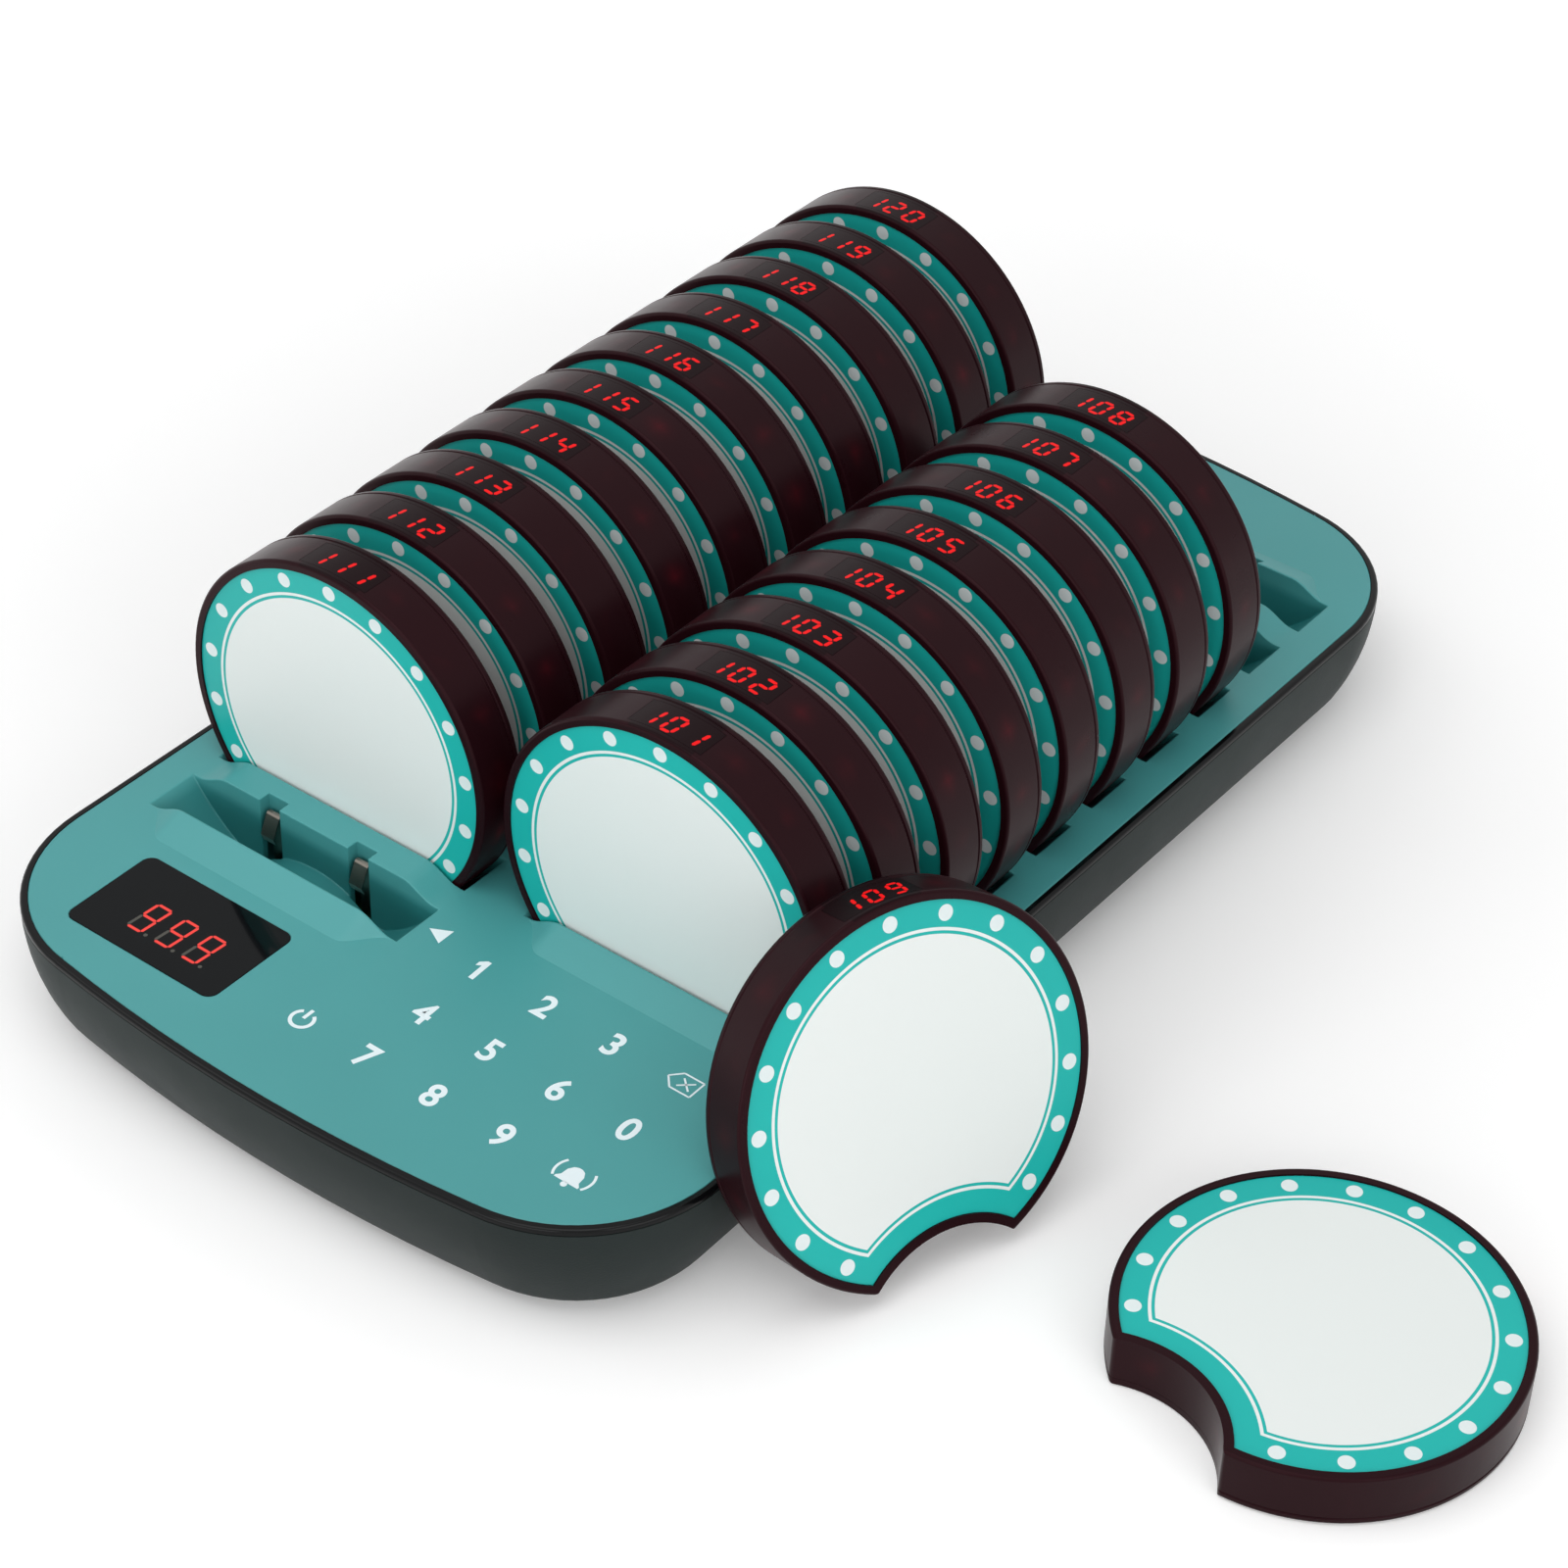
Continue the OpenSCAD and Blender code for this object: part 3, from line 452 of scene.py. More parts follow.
def smoked(name, group, rim, shade):
    """Dark translucent pager plastic, with the red of its light ring faintly showing through."""
    made = moulded(name, group, shade, darker(shade, 0.8), 0.3, smudge=0.16, grain=1600.0, relief=0.04,
                   drift_scale=22.0, shine=0.1)
    tree = made.node_tree
    shader = tree.nodes["Principled BSDF"]
    shader.inputs["Specular Tint"].default_value = (1.0, 0.6, 0.65, 1.0)
    surface = shader.inputs["Base Color"].links[0].from_socket
    marks = tree.nodes.new("ShaderNodeGroup")
    marks.node_tree = rim
    place = tree.nodes.new("ShaderNodeTexCoord").outputs["Object"]
    patch = noise(tree, place, GLOW_PATCH_SCALE, 2.0, 0.5)
    uneven = math_node(tree, "MULTIPLY_ADD", patch, GLOW_CONTRAST, GLOW_SHIFT, clamp=True)
    shown = mix_colour(tree, marks.outputs["Display"], surface, linear(13, 6, 8))
    tree.links.new(shown, shader.inputs["Base Color"])
    lit = math_node(tree, "MULTIPLY", marks.outputs["Glow"], uneven)
    hidden = math_node(tree, "SUBTRACT", 1.0, marks.outputs["Display"])
    mask = math_node(tree, "MULTIPLY", lit, hidden, clamp=True)
    glow = mix_colour(tree, mask, GLOW_DARK, GLOW_LIGHT)
    tree.links.new(glow, shader.inputs["Emission Color"])
    shader.inputs["Emission Strength"].default_value = 1.0
    return made


def printed_label(name, group, print_group):
    """The label film: white and teal print, read from the label's own UV map."""
    made, tree, shader = material(name)
    marks = tree.nodes.new("ShaderNodeGroup")
    marks.node_tree = print_group
    surface = tree.nodes.new("ShaderNodeGroup")
    surface.node_tree = group
    surface.inputs["Colour"].default_value = linear(32, 186, 178)
    surface.inputs["Drift colour"].default_value = linear(26, 178, 172)
    surface.inputs["Roughness"].default_value = 0.36
    surface.inputs["Grain scale"].default_value = 900.0
    tree.links.new(surface.outputs["Roughness"], shader.inputs["Roughness"])
    paper = mix_colour(tree, marks.outputs["White"], surface.outputs["Colour"], linear(236, 241, 239))
    inked = mix_colour(tree, marks.outputs["Dots"], paper, linear(230, 240, 240))
    tree.links.new(inked, shader.inputs["Base Color"])
    shader.inputs["Specular IOR Level"].default_value = 0.25
    add_bump(tree, shader, surface.outputs["Height"], 0.04, 0.0002)
    return made


def build_materials(colours):
    """Every finish of the object, by name."""
    group = moulded_group()
    deck = tuple(colours.deck) + (1.0,)
    # Painted shade: the deck's colour darkened for the inside of its wells.
    well_shade_colour = tuple(c * s for c, s in zip(deck[:3], WELL_SHADE_SHARES)) + (1.0,)
    rim = rim_group()
    case = tuple(colours.case) + (1.0,)
    made = {
        # The deck, with painted shade in its wells.
        "deck": deepened(moulded("deck_teal", group, deck, darker(deck, 0.93), 0.46, smudge=0.12, grain=1500.0,
                                 relief=0.05, shine=0.5), well_shade_colour),
        "frame": moulded("frame_gloss_black", group, linear(5, 6, 7), linear(8, 9, 10), 0.16, smudge=0.05,
                         grain=800.0, relief=0.01, shine=0.16),
        "case": moulded("case_charcoal", group, case, darker(case, 0.7), 0.48, smudge=0.12, grain=2200.0,
                        relief=0.16, shine=0.12),
        "window": moulded("window_smoked_black", group, linear(13, 15, 17), linear(15, 17, 19), 0.05, smudge=0.03,
                          grain=500.0, relief=0.0, shine=0.1),
        "number_window": smoked("number_window_red_black", group, rim, linear(12, 5, 7)),
        "pager": smoked("pager_smoked", group, rim, linear(32, 13, 17)),
        "label": printed_label("label_film", group, label_group()),
        "lit": glowing("display_segment_lit", (1.0, 0.075, 0.062, 1.0), 1.0, linear(60, 8, 8)),
        "rim_lit": glowing("rim_segment_lit", (1.0, 0.006, 0.008, 1.0), 1.0, linear(50, 4, 4)),
        "unlit": moulded("segment_unlit", group, linear(78, 76, 70), linear(68, 66, 62), 0.5),
        "print": moulded("keypad_print", group, linear(238, 248, 252), linear(230, 242, 246), 0.5, grain=900.0,
                         relief=0.03),
        "nickel": metal("contact_nickel", group, linear(138, 132, 124), 0.3),
        "steel": metal("screw_zinc", group, linear(150, 152, 156), 0.34),
        "foil": metal("battery_foil", group, linear(176, 178, 182), 0.4),
        "rubber": moulded("foot_rubber", group, linear(22, 22, 23), linear(30, 30, 31), 0.75, smudge=0.1,
                          grain=2600.0, relief=0.2),
        "board": moulded("board_green", group, linear(24, 84, 52), linear(20, 74, 46), 0.35, smudge=0.1,
                         grain=300.0, relief=0.05, coat=0.3),
        "block": moulded("display_block", group, linear(30, 30, 31), linear(24, 24, 25), 0.4),
    }
    return made


# ---------------------------------------------------------------- mesh helpers

def finish_piece(name, bm, body, finishes, outward=True, weighted=False):
    """Turns a bmesh, in metres in the shared frame, into a piece that rides on a body."""
    if outward:
        bmesh.ops.recalc_face_normals(bm, faces=bm.faces)
    mesh = bpy.data.meshes.new(name)
    bm.to_mesh(mesh)
    bm.free()
    piece = bpy.data.objects.new(name, mesh)
    bpy.context.scene.collection.objects.link(piece)
    for coat in finishes:
        mesh.materials.append(coat)
    if weighted:
        evened = piece.modifiers.new("even_shading", "WEIGHTED_NORMAL")
        evened.keep_sharp = True
        evened.weight = 70
    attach(piece, body)
    return piece


def soften(bm, angle):
    """Marks faces smooth and edges sharper than the angle as hard."""
    for face in bm.faces:
        face.smooth = True
    for edge in bm.edges:
        edge.smooth = len(edge.link_faces) == 2 and edge.calc_face_angle(0.0) < angle


def merged_copy(node):
    """A merged, cleaned bmesh copy of a CAD node."""
    bm = bmesh.new()
    bm.from_mesh(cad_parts[node].data)
    bmesh.ops.remove_doubles(bm, verts=bm.verts, dist=MERGE_GAP)
    bmesh.ops.dissolve_degenerate(bm, edges=bm.edges, dist=MERGE_GAP)
    return bm


def dissolve_flats(bm):
    """Joins the triangles of each flat face."""
    bmesh.ops.dissolve_limit(bm, angle_limit=FLAT_ANGLE, verts=bm.verts, edges=bm.edges)


def bevel_edges(bm, width, angle, segments=2):
    """Rounds the hard edges of a mesh a little."""
    hard = [e for e in bm.edges if len(e.link_faces) == 2 and e.calc_face_angle(0.0) > angle]
    bmesh.ops.bevel(bm, geom=hard, offset=width, offset_type="OFFSET", affect="EDGES", segments=segments,
                    profile=0.5, material=-1, clamp_overlap=False)


def segment_outline(letter, width, height, stroke, gap):
    """Corners of one display segment, in the plane of its figure."""
    half = stroke / 2
    middle = height / 2

    def bar(x0, y0, x1, y1):
        along = Vector((x1 - x0, y1 - y0)).normalized()
        side = Vector((-along.y, along.x)) * half
        start = Vector((x0, y0)) + along * gap
        end = Vector((x1, y1)) - along * gap
        inner_start, inner_end = start + along * half, end - along * half
        return [start, inner_start - side, inner_end - side, end, inner_end + side, inner_start + side]

    far, top = width - half, height - half
    ends = {
        "a": (half, top, far, top), "b": (far, middle, far, top), "c": (far, half, far, middle),
        "d": (half, half, far, half), "e": (half, half, half, middle), "f": (half, middle, half, top),
        "g": (half, middle, far, middle),
    }
    return bar(*ends[letter])


def add_figures(bm, text, corner, sizes, place, low, high, lit=True):
    """Seven-segment figures: the lit or the dark segments of a number."""
    left, bottom = corner
    for k, figure in enumerate(text):
        for letter in "abcdefg":
            if (letter in LIT[figure]) != lit:
                continue
            outline = segment_outline(letter, sizes["width"], sizes["height"], sizes["stroke"], sizes["gap"])
            start = left + k * sizes["pitch"]
            shifted = [(start + p.x + sizes["slant"] * p.y, bottom + p.y) for p in outline]
            bottoms = [bm.verts.new(place(x, y, low)) for x, y in shifted]
            tops = [bm.verts.new(place(x, y, high)) for x, y in shifted]
            bm.faces.new(bottoms)
            bm.faces.new(tops)
            bmesh.ops.bridge_loops(bm, edges=loop_edges(bm, bottoms) + loop_edges(bm, tops))


def loop_edges(bm, verts):
    """The edges of a closed ring of vertices."""
    return [bm.edges.get((verts[k], verts[(k + 1) % len(verts)])) for k in range(len(verts))]


def text_mesh(body, size, thickness, weight):
    """A flat figure as a mesh, centred on its own box."""
    curve = bpy.data.curves.new("figure", "FONT")
    curve.body = body
    curve.size = size
    curve.extrude = thickness / 2
    curve.offset = weight
    curve.resolution_u = 6
    holder = bpy.data.objects.new("figure", curve)
    bpy.context.scene.collection.objects.link(holder)
    bpy.context.view_layer.update()
    mesh = bpy.data.meshes.new_from_object(holder.evaluated_get(bpy.context.evaluated_depsgraph_get()))
    bpy.data.objects.remove(holder)
    bpy.data.curves.remove(curve)
    xs = [v.co.x for v in mesh.vertices]
    ys = [v.co.y for v in mesh.vertices]
    mesh.transform(Matrix.Translation((-(min(xs) + max(xs)) / 2, -(min(ys) + max(ys)) / 2, 0)))
    return mesh


def stroke_ring(bm, centre, radius, width, low, high, start=0.0, end=360.0, steps=32):
    """A flat ring or arc with square edges, spun from its cross-section."""
    middle = Vector((centre[0], centre[1], 0.0))
    turn = Matrix.Rotation(math.radians(start), 3, "Z")
    inner, outer = radius - width / 2, radius + width / 2
    corners = ((inner, low), (outer, low), (outer, high), (inner, high))
    section = [bm.verts.new(middle + turn @ Vector((r, 0.0, z))) for r, z in corners]
    edges = [bm.edges.new((section[k - 1], section[k])) for k in range(4)]
    closed = end - start >= 360.0
    spun = bmesh.ops.spin(bm, geom=section + edges, cent=middle, axis=(0.0, 0.0, 1.0),
                          angle=math.radians(end - start), steps=steps, use_merge=closed)
    if not closed:
        last = [e for e in spun["geom_last"] if isinstance(e, bmesh.types.BMEdge)]
        bmesh.ops.contextual_create(bm, geom=edges)
        bmesh.ops.contextual_create(bm, geom=last)


def add_plate(bm, corners, low, high):
    """A flat polygon with thickness."""
    bottoms = [bm.verts.new((x, y, low)) for x, y in corners]
    tops = [bm.verts.new((x, y, high)) for x, y in corners]
    bm.faces.new(bottoms)
    bm.faces.new(tops)
    bmesh.ops.bridge_loops(bm, edges=loop_edges(bm, bottoms) + loop_edges(bm, tops))


def add_line(bm, start, end, width, low, high):
    """A straight printed line."""
    a, b = Vector(start), Vector(end)
    side = Vector((-(b - a).y, (b - a).x)).normalized() * width / 2
    add_plate(bm, [tuple(a - side), tuple(b - side), tuple(b + side), tuple(a + side)], low, high)


# ---------------------------------------------------------------- settings

class GuestPagerColours(bpy.types.PropertyGroup):
    """Colours that a user may change."""
    deck: FloatVectorProperty(name="Deck", description="Colour of the moulded deck", subtype="COLOR", size=3,
                              min=0.0, max=1.0, default=linear(72, 155, 156)[:3])
    case: FloatVectorProperty(name="Lower case", description="Colour of the lower case", subtype="COLOR", size=3,
                              min=0.0, max=1.0, default=linear(37, 46, 45)[:3])


class GuestPagerSettings(bpy.types.PropertyGroup):
    """Sizes and figures that a user may change."""
    shown: StringProperty(name="Shown number", description="Figures on the base's display", default="999")
    edge_round: FloatProperty(name="Edge round", description="Round on the deck's hard edges",
                              default=0.0003, min=0.0, max=0.0005, unit="LENGTH")
    key_height: FloatProperty(name="Key height", description="Height of the figures printed on the keypad",
                              default=0.0076, min=0.004, max=0.012, unit="LENGTH")


FINISHES = {}


def finish(name):
    """A finish by name; all are built on the first call."""
    if not FINISHES:
        FINISHES.update(build_materials(bpy.context.scene.guest_pager_colours))
    return FINISHES[name]


def dress_node(node, name):
    """Gives a CAD node that stays in view a better material."""
    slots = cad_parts[node].data.materials
    if len(slots):
        for k in range(len(slots)):
            slots[k] = finish(name)
    else:
        slots.append(finish(name))


# ---------------------------------------------------------------- operators

class GUESTPAGER_OT_base_shells(bpy.types.Operator):
    """Deck, frame and lower case, with softened edges"""
    bl_idname = "guestpager.base_shells"
    bl_label = "Base shells"

    def execute(self, context):
        edge = context.scene.guest_pager_settings.edge_round
        bm = merged_copy("top_cover")
        dissolve_flats(bm)
        bevel_edges(bm, edge, DECK_ROUND_ANGLE)
        bmesh.ops.triangulate(bm, faces=bm.faces)
        soften(bm, DECK_HARD_ANGLE)
        deck = finish_piece("deck", bm, "base", [finish("deck")], outward=False, weighted=True)
        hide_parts("top_cover")
        for node, name, slot, key in (("rim_frame", "deck_frame", "frame_plastic", "frame"),
                                      ("lower_case", "case_tub", "case_plastic", "case")):
            bm = merged_copy(node)
            soften(bm, CASE_HARD_ANGLE)
            shell = finish_piece(name, bm, "base", [finish(key)], outward=False, weighted=True)
            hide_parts(node)
        return {"FINISHED"}


class GUESTPAGER_OT_display(bpy.types.Operator):
    """Gloss window with its three lit figures"""
    bl_idname = "guestpager.display"
    bl_label = "Display"

    def execute(self, context):
        dress_node("display_window", "window")
        dress_node("display_module", "block")
        shown = context.scene.guest_pager_settings.shown
        left, bottom = DISPLAY_CORNER
        point_x, point_y, point_r, point_w = DISPLAY_POINT

        def place(x, y, z):
            return Vector((x * MM, y * MM, DECK + z * MM))

        layers = ((True, 0.005, 0.03, "display_figures"), (False, 0.004, 0.02, "display_dark_segments"))
        for lit, low, high, name in layers:
            bm = bmesh.new()
            add_figures(bm, shown, DISPLAY_CORNER, DISPLAY_SIZES, place, low, high, lit)
            if not lit:
                for k in range(len(shown)):
                    spot = ((left + k * DISPLAY_SIZES["pitch"] + point_x) * MM, (bottom + point_y) * MM)
                    stroke_ring(bm, spot, point_r * MM, point_w * MM, DECK + low * MM, DECK + high * MM, steps=12)
            finish_piece(name, bm, "base", [finish("lit" if lit else "unlit")])
        return {"FINISHED"}


class GUESTPAGER_OT_keypad_print(bpy.types.Operator):
    """Figures and plain symbols printed on the deck"""
    bl_idname = "guestpager.keypad_print"
    bl_label = "Keypad print"

    columns = (14.3, 35.8, 57.6, 79.4)
    rows = (-121.0, -141.6, -162.1)
    figures = ("123", "4560", "789")
    arrow_at = (-2.7, -117.0)
    power_x = -7.0

    # Corners of the symbols round their own middles, widths and radii, all in millimetres.
    arrow = ((-3.2, 0.0), (2.4, -2.9), (2.4, 2.9))
    rub_out = ((-4.7, 0), (-2.0, 3.0), (4.1, 3.0), (4.1, -3.0), (-2.0, -3.0))
    rub_out_line = 0.5
    power_r = 3.0
    power_line = 1.0
    power_gap = (125.0, 415.0)
    bell = ((-3.6, -2.6), (3.6, -2.6), (3.6, -2.0), (2.7, -1.0), (2.5, 1.2), (1.6, 2.6), (0.5, 3.1),
            (-0.5, 3.1), (-1.6, 2.6), (-2.5, 1.2), (-2.7, -1.0), (-3.6, -2.0))
    clapper_drop = 3.3
    arc_r = 5.2
    arcs = ((-35.0, 35.0), (145.0, 215.0))

    def execute(self, context):
        height = context.scene.guest_pager_settings.key_height
        low, high = DECK + PRINT_RISE, DECK + PRINT_RISE + PRINT_T
        bm = bmesh.new()
        for y, row in zip(self.rows, self.figures):
            for x, figure in zip(self.columns, row):
                if figure == "1":
                    self.add_one(bm, x, y, height / MM, low, high)
                    continue
                mesh = text_mesh(figure, height / FIGURE_SHARE, PRINT_T, FIGURE_WEIGHT)
                lean = Matrix(((FIGURE_WIDTH, FIGURE_LEAN, 0, x * MM), (0, 1, 0, y * MM),
                               (0, 0, 1, (low + high) / 2), (0, 0, 0, 1)))
                mesh.transform(lean)
                bm.from_mesh(mesh)
                bpy.data.meshes.remove(mesh)
        self.add_arrow(bm, low, high)
        self.add_delete(bm, low, high)
        self.add_power(bm, low, high)
        self.add_bell(bm, low, high)
        finish_piece("keypad_marks", bm, "base", [finish("print")])
        return {"FINISHED"}

    def add_one(self, bm, x, y, height, low, high):
        """The figure 1 with its flag."""
        half, thick = height / 2, 1.5
        right, flag = 0.9, -2.0
        shape = [(right, -half), (right, half), (-0.3, half), (flag, half - 1.5), (flag, half - 3.0),
                 (right - thick, half - 2.2), (right - thick, -half)]
        add_plate(bm, [((x + a + FIGURE_LEAN * b) * MM, (y + b) * MM) for a, b in shape], low, high)

    def corners(self, shape, x, y):
        """A symbol's corners in the shared frame, in metres."""
        return [((x + a) * MM, (y + b) * MM) for a, b in shape]

    def add_arrow(self, bm, low, high):
        """A solid arrow that points at the spare well."""
        add_plate(bm, self.corners(self.arrow, *self.arrow_at), low, high)

    def add_delete(self, bm, low, high):
        """The outline of a rub-out key with its cross."""
        x, y = self.columns[3], self.rows[0]
        points = self.corners(self.rub_out, x, y)
        for k, start in enumerate(points):
            add_line(bm, start, points[(k + 1) % len(points)], self.rub_out_line * MM, low, high)
        for s in (-1, 1):
            start, end = ((x - 1.0) * MM, (y - s * 1.6) * MM), ((x + 2.6) * MM, (y + s * 1.6) * MM)
            add_line(bm, start, end, self.rub_out_line * MM, low, high)

    def add_power(self, bm, low, high):
        """A ring with a stroke at its top."""
        x, y = self.power_x, self.rows[2]
        start, end = self.power_gap
        stroke_ring(bm, (x * MM, y * MM), self.power_r * MM, self.power_line * MM, low, high, start, end, 28)
        add_line(bm, (x * MM, (y + 0.4) * MM), (x * MM, (y + 4.0) * MM), self.power_line * MM, low, high)

    def add_bell(self, bm, low, high):
        """A plain bell with two sound arcs."""
        x, y = self.columns[3], self.rows[2]
        add_plate(bm, self.corners(self.bell, x, y), low, high)
        stroke_ring(bm, (x * MM, (y - self.clapper_drop) * MM), 0.45 * MM, 0.85 * MM, low, high, steps=16)
        for start, end in self.arcs:
            stroke_ring(bm, (x * MM, (y + 0.6) * MM), self.arc_r * MM, 0.7 * MM, low, high, start, end, 12)


class GUESTPAGER_OT_small_parts(bpy.types.Operator):
    """Contacts, boards, feet, screws and what else the base holds"""
    bl_idname = "guestpager.small_parts"
    bl_label = "Small parts"

    def execute(self, context):
        dressed = {
            "charge_springs": "nickel", "antenna": "nickel", "screws": "steel", "feet": "rubber", "buzzer": "block",
            "dc_jack": "block", "key_board": "board", "main_board": "board", "charge_boards": "board",
            "pager_110_board": "board", "pager_110_battery": "foil", "pager_110_display": "block",
            "pager_110_motor": "nickel", "pager_110_window": "window",
        }
        for node, name in dressed.items():
            dress_node(node, name)
        return {"FINISHED"}


def map_rim(bm, home):
    """A UV map that runs along a pager's rim from its top, and across it from its face.

    The flat face and back are put beyond every mark, at the map's far corner.
    """
    back = home.inverted()
    depthward = home.to_3x3() @ Vector((0.0, 1.0, 0.0))
    layer = bm.loops.layers.uv.new("rim")
    bm.normal_update()
    for face in bm.faces:
        flat = abs(face.normal.dot(depthward)) > FLAT_COSINE
        for loop in face.loops:
            if flat:
                loop[layer].uv = (1.0, 1.0)
                continue
            at = back @ loop.vert.co
            along = PAGER_R * math.atan2(at.x, at.z)
            loop[layer].uv = (along / RIM_SPAN + 0.5, at.y / (FACE_SPAN * MM))


def pager_template():
    """A docked pager's shell, cover and window in its own frame, with softened edges."""
    bm = merged_copy("pager_101_case")
    bm.transform(local_matrix(101).inverted())
    mark_number_window(bm)
    mark_pads(bm, Matrix.Identity(4), 2)
    map_rim(bm, Matrix.Identity(4))
    soften(bm, PAGER_HARD_ANGLE)
    mesh = bpy.data.meshes.new("pager_template")
    bm.to_mesh(mesh)
    bm.free()
    return mesh


def mark_pads(bm, home, index):
    """Gives the floors of the two charging pads in a pager's back a material of their own."""
    back = home.inverted()
    for face in bm.faces:
        points = [(back @ v.co) / MM for v in face.verts]
        if all(PAD_FROM < p.y < PAD_TO and math.hypot(abs(p.x) - PAD_X, p.z - PAD_Z) < PAD_REACH for p in points):
            face.material_index = index


def mark_number_window(bm):
    """Gives the faces of the number window the second material."""
    for face in bm.faces:
        inside = all(abs(v.co.x) < WINDOW_HALF * MM and WINDOW_FROM * MM < v.co.y < WINDOW_TO * MM
                     and v.co.z > WINDOW_FLOOR * MM for v in face.verts)
        if inside:
            face.material_index = 1


class GUESTPAGER_OT_pager_cases(bpy.types.Operator):
    """Smoked cases of the twenty pagers"""
    bl_idname = "guestpager.pager_cases"
    bl_label = "Pager cases"

    def execute(self, context):
        template = pager_template()
        for number in DOCKED + [LEANING]:
            bm = bmesh.new()
            bm.from_mesh(template)
            bm.transform(local_matrix(number))
            finishes = [finish("pager"), finish("number_window"), finish("nickel")]
            shell = finish_piece(f"pager_{number}_shell", bm, f"pager_{number}", finishes,
                                 outward=False, weighted=True)
            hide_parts(f"pager_{number}_case")
        for part in ("case", "back_cover"):
            bm = merged_copy(f"pager_110_{part}")
            mark_pads(bm, local_matrix(LYING), 1)
            map_rim(bm, local_matrix(LYING))
            soften(bm, PAGER_HARD_ANGLE)
            shell = finish_piece(f"pager_110_{part}_shell", bm, "pager_110",
                                 [finish("pager"), finish("nickel")], outward=False, weighted=True)
            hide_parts(f"pager_110_{part}")
        return {"FINISHED"}


class GUESTPAGER_OT_pager_labels(bpy.types.Operator):
    """Printed label films, with the UV map that their print follows"""
    bl_idname = "guestpager.pager_labels"
    bl_label = "Pager labels"

    def execute(self, context):
        for number in NUMBERS:
            node = f"pager_{number}_label"
            bm = merged_copy(node)
            for face in bm.faces:
                face.smooth = False
            back = local_matrix(number).inverted()
            layer = bm.loops.layers.uv.new("print")
            for face in bm.faces:
                for loop in face.loops:
                    at = back @ loop.vert.co
                    loop[layer].uv = (at.x / (FACE_SPAN * MM) + 0.5, at.z / (FACE_SPAN * MM) + 0.5)
            film = finish_piece(f"pager_{number}_film", bm, f"pager_{number}", [finish("label")],
                                outward=False)
            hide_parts(node)
        return {"FINISHED"}


class GUESTPAGER_OT_pager_numbers(bpy.types.Operator):
    """Lit figures in the top of each pager's rim"""
    bl_idname = "guestpager.pager_numbers"
    bl_label = "Pager numbers"

    def execute(self, context):
        for number in NUMBERS:
            home = local_matrix(number)

            def place(x, y, z):
                turn = x / PAGER_R
                radius = PAGER_R + z
                return home @ (Vector((radius * math.sin(turn), y, radius * math.cos(turn))) * MM)

            bm = bmesh.new()
            add_figures(bm, str(number), RIM_CORNER, RIM_SIZES, place, -0.02, 0.03)
            finish_piece(f"pager_{number}_figures", bm, f"pager_{number}", [finish("rim_lit")])
        return {"FINISHED"}


def seen_directly(tree):
    """1 for what the camera sees, also in a reflection or through glass, and 0 for the light it sheds."""
    path = tree.nodes.new("ShaderNodeLightPath")
    glossy = math_node(tree, "MAXIMUM", path.outputs["Is Camera Ray"], path.outputs["Is Glossy Ray"])
    return math_node(tree, "MAXIMUM", glossy, path.outputs["Is Transmission Ray"])


def area_light(name, position, target, size, energy):
    """A soft square lamp aimed at a point."""
    lamp = bpy.data.lights.new(name, "AREA")
    lamp.shape = "RECTANGLE"
    lamp.size, lamp.size_y = size
    lamp.energy = energy
    holder = bpy.data.objects.new(name, lamp)
    bpy.context.scene.collection.objects.link(holder)
    holder.location = position
    holder.rotation_euler = (Vector(target) - Vector(position)).to_track_quat("-Z", "Y").to_euler()


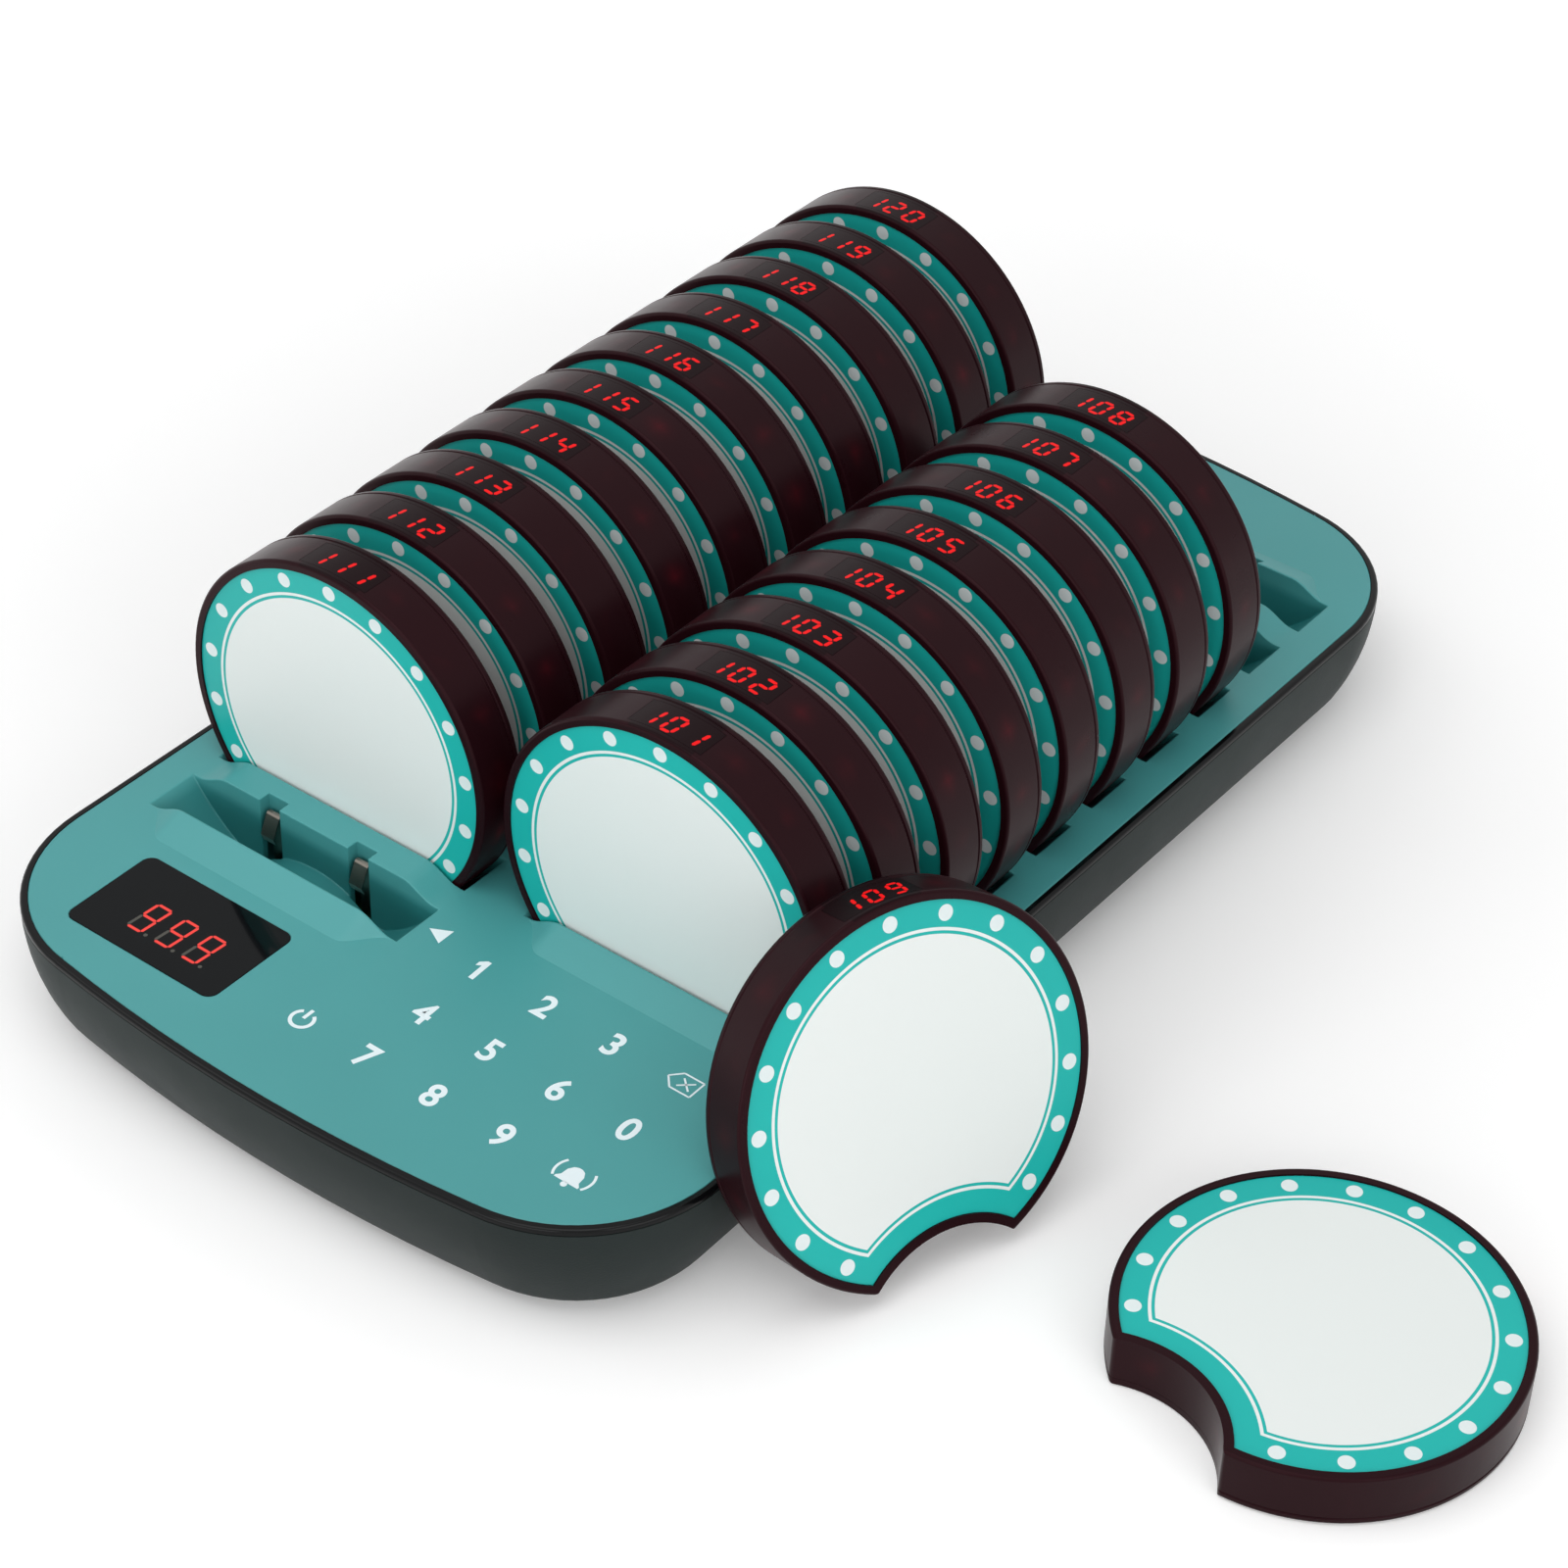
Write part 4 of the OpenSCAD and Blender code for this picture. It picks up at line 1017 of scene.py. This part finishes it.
class GUESTPAGER_OT_stage(bpy.types.Operator):
    """Floor, lamps, world and camera"""
    bl_idname = "guestpager.stage"
    bl_label = "Stage"

    def execute(self, context):
        scene = context.scene
        scene.view_settings.view_transform = "Standard"
        self.add_floor(scene)
        self.add_world(scene)
        for name, (place, aim, size, watts) in LAMPS.items():
            area_light(name, place, aim, size, watts)
        self.add_camera(scene)
        return {"FINISHED"}

    def add_floor(self, scene):
        """A wide pale floor just under the feet."""
        bm = bmesh.new()
        bmesh.ops.create_grid(bm, x_segments=1, y_segments=1, size=FLOOR_HALF)
        bmesh.ops.translate(bm, verts=bm.verts, vec=(0.0, 0.0, -FLOOR_DROP))
        mesh = bpy.data.meshes.new("floor")
        bm.to_mesh(mesh)
        bm.free()
        floor = bpy.data.objects.new("floor", mesh)
        scene.collection.objects.link(floor)
        made, tree, shader = material("floor_white")
        shader.inputs["Base Color"].default_value = (FLOOR_WHITE, FLOOR_WHITE, FLOOR_WHITE, 1.0)
        shader.inputs["Roughness"].default_value = 0.7
        shader.inputs["Specular IOR Level"].default_value = 0.15
        place = tree.nodes.new("ShaderNodeTexCoord").outputs["Object"]
        outward = tree.nodes.new("ShaderNodeVectorMath")
        outward.operation = "LENGTH"
        tree.links.new(place, outward.inputs[0])
        lift = math_node(tree, "MULTIPLY_ADD", outward.outputs["Value"], FLOOR_LIFT_PER_M, FLOOR_LIFT, clamp=True)
        shader.inputs["Emission Color"].default_value = (1.0, 1.0, 1.0, 1.0)
        tree.links.new(math_node(tree, "MULTIPLY", lift, seen_directly(tree)), shader.inputs["Emission Strength"])
        mesh.materials.append(made)

    def add_world(self, scene):
        """Even pale surroundings."""
        world = bpy.data.worlds.new("surroundings")
        world.use_nodes = True
        tree = world.node_tree
        background = tree.nodes["Background"]
        background.inputs["Color"].default_value = (1.0, 1.0, 1.0, 1.0)
        seen = seen_directly(tree)
        strength = math_node(tree, "MULTIPLY_ADD", seen, 1.0 - WORLD_FILL, WORLD_FILL)
        tree.links.new(strength, background.inputs["Strength"])
        scene.world = world

    def add_camera(self, scene):
        """The photograph's viewpoint."""
        azimuth, elevation, roll = (math.radians(a) for a in (CAMERA_AZIMUTH, CAMERA_ELEVATION, CAMERA_ROLL))
        level = Vector((-math.sin(azimuth), math.cos(azimuth), 0.0)) * math.cos(elevation)
        forward = level - Vector((0.0, 0.0, math.sin(elevation)))
        right = Vector((math.cos(azimuth), math.sin(azimuth), 0.0))
        up = right.cross(forward)
        across = right * math.cos(roll) + up * math.sin(roll)
        upward = up * math.cos(roll) - right * math.sin(roll)
        side, rise, away = CAMERA_OFFSET
        position = Vector(CAMERA_TARGET) - (across * side + upward * rise + forward * away) * CAMERA_UNIT
        data = bpy.data.cameras.new("camera")
        data.lens = CAMERA_FOCAL * SENSOR
        data.sensor_width = SENSOR
        data.clip_start = 0.05
        data.clip_end = 30.0
        camera = bpy.data.objects.new("camera", data)
        scene.collection.objects.link(camera)
        axes = Matrix((across, upward, -forward)).transposed()
        camera.matrix_world = Matrix.Translation(position) @ axes.to_4x4()
        scene.camera = camera


class GUESTPAGER_PT_panel(bpy.types.Panel):
    """Lists the pieces of the guest pager system"""
    bl_label = "Guest pager system"
    bl_idname = "GUESTPAGER_PT_panel"
    bl_space_type = "VIEW_3D"
    bl_region_type = "UI"
    bl_category = "Guest pagers"

    def draw(self, context):
        for group in (context.scene.guest_pager_settings, context.scene.guest_pager_colours):
            for name in group.__annotations__:
                self.layout.prop(group, name)
        for operator in OPERATORS:
            self.layout.operator(operator.bl_idname)


OPERATORS = (
    GUESTPAGER_OT_stage, GUESTPAGER_OT_base_shells, GUESTPAGER_OT_display, GUESTPAGER_OT_keypad_print,
    GUESTPAGER_OT_small_parts, GUESTPAGER_OT_pager_cases, GUESTPAGER_OT_pager_labels, GUESTPAGER_OT_pager_numbers,
)
CLASSES = (GuestPagerColours, GuestPagerSettings) + OPERATORS + (GUESTPAGER_PT_panel,)


def register():
    """Adds the settings, the operators and the panel."""
    for cls in CLASSES:
        bpy.utils.register_class(cls)
    bpy.types.Scene.guest_pager_colours = PointerProperty(type=GuestPagerColours)
    bpy.types.Scene.guest_pager_settings = PointerProperty(type=GuestPagerSettings)


def unregister():
    """Takes them away again."""
    del bpy.types.Scene.guest_pager_settings
    del bpy.types.Scene.guest_pager_colours
    for cls in reversed(CLASSES):
        bpy.utils.unregister_class(cls)


def main():
    """Builds the stage and every piece."""
    register()
    bpy.ops.guestpager.stage()
    bpy.ops.guestpager.base_shells()
    bpy.ops.guestpager.display()
    bpy.ops.guestpager.keypad_print()
    bpy.ops.guestpager.small_parts()
    bpy.ops.guestpager.pager_cases()
    bpy.ops.guestpager.pager_labels()
    bpy.ops.guestpager.pager_numbers()


if __name__ == "__main__":
    main()
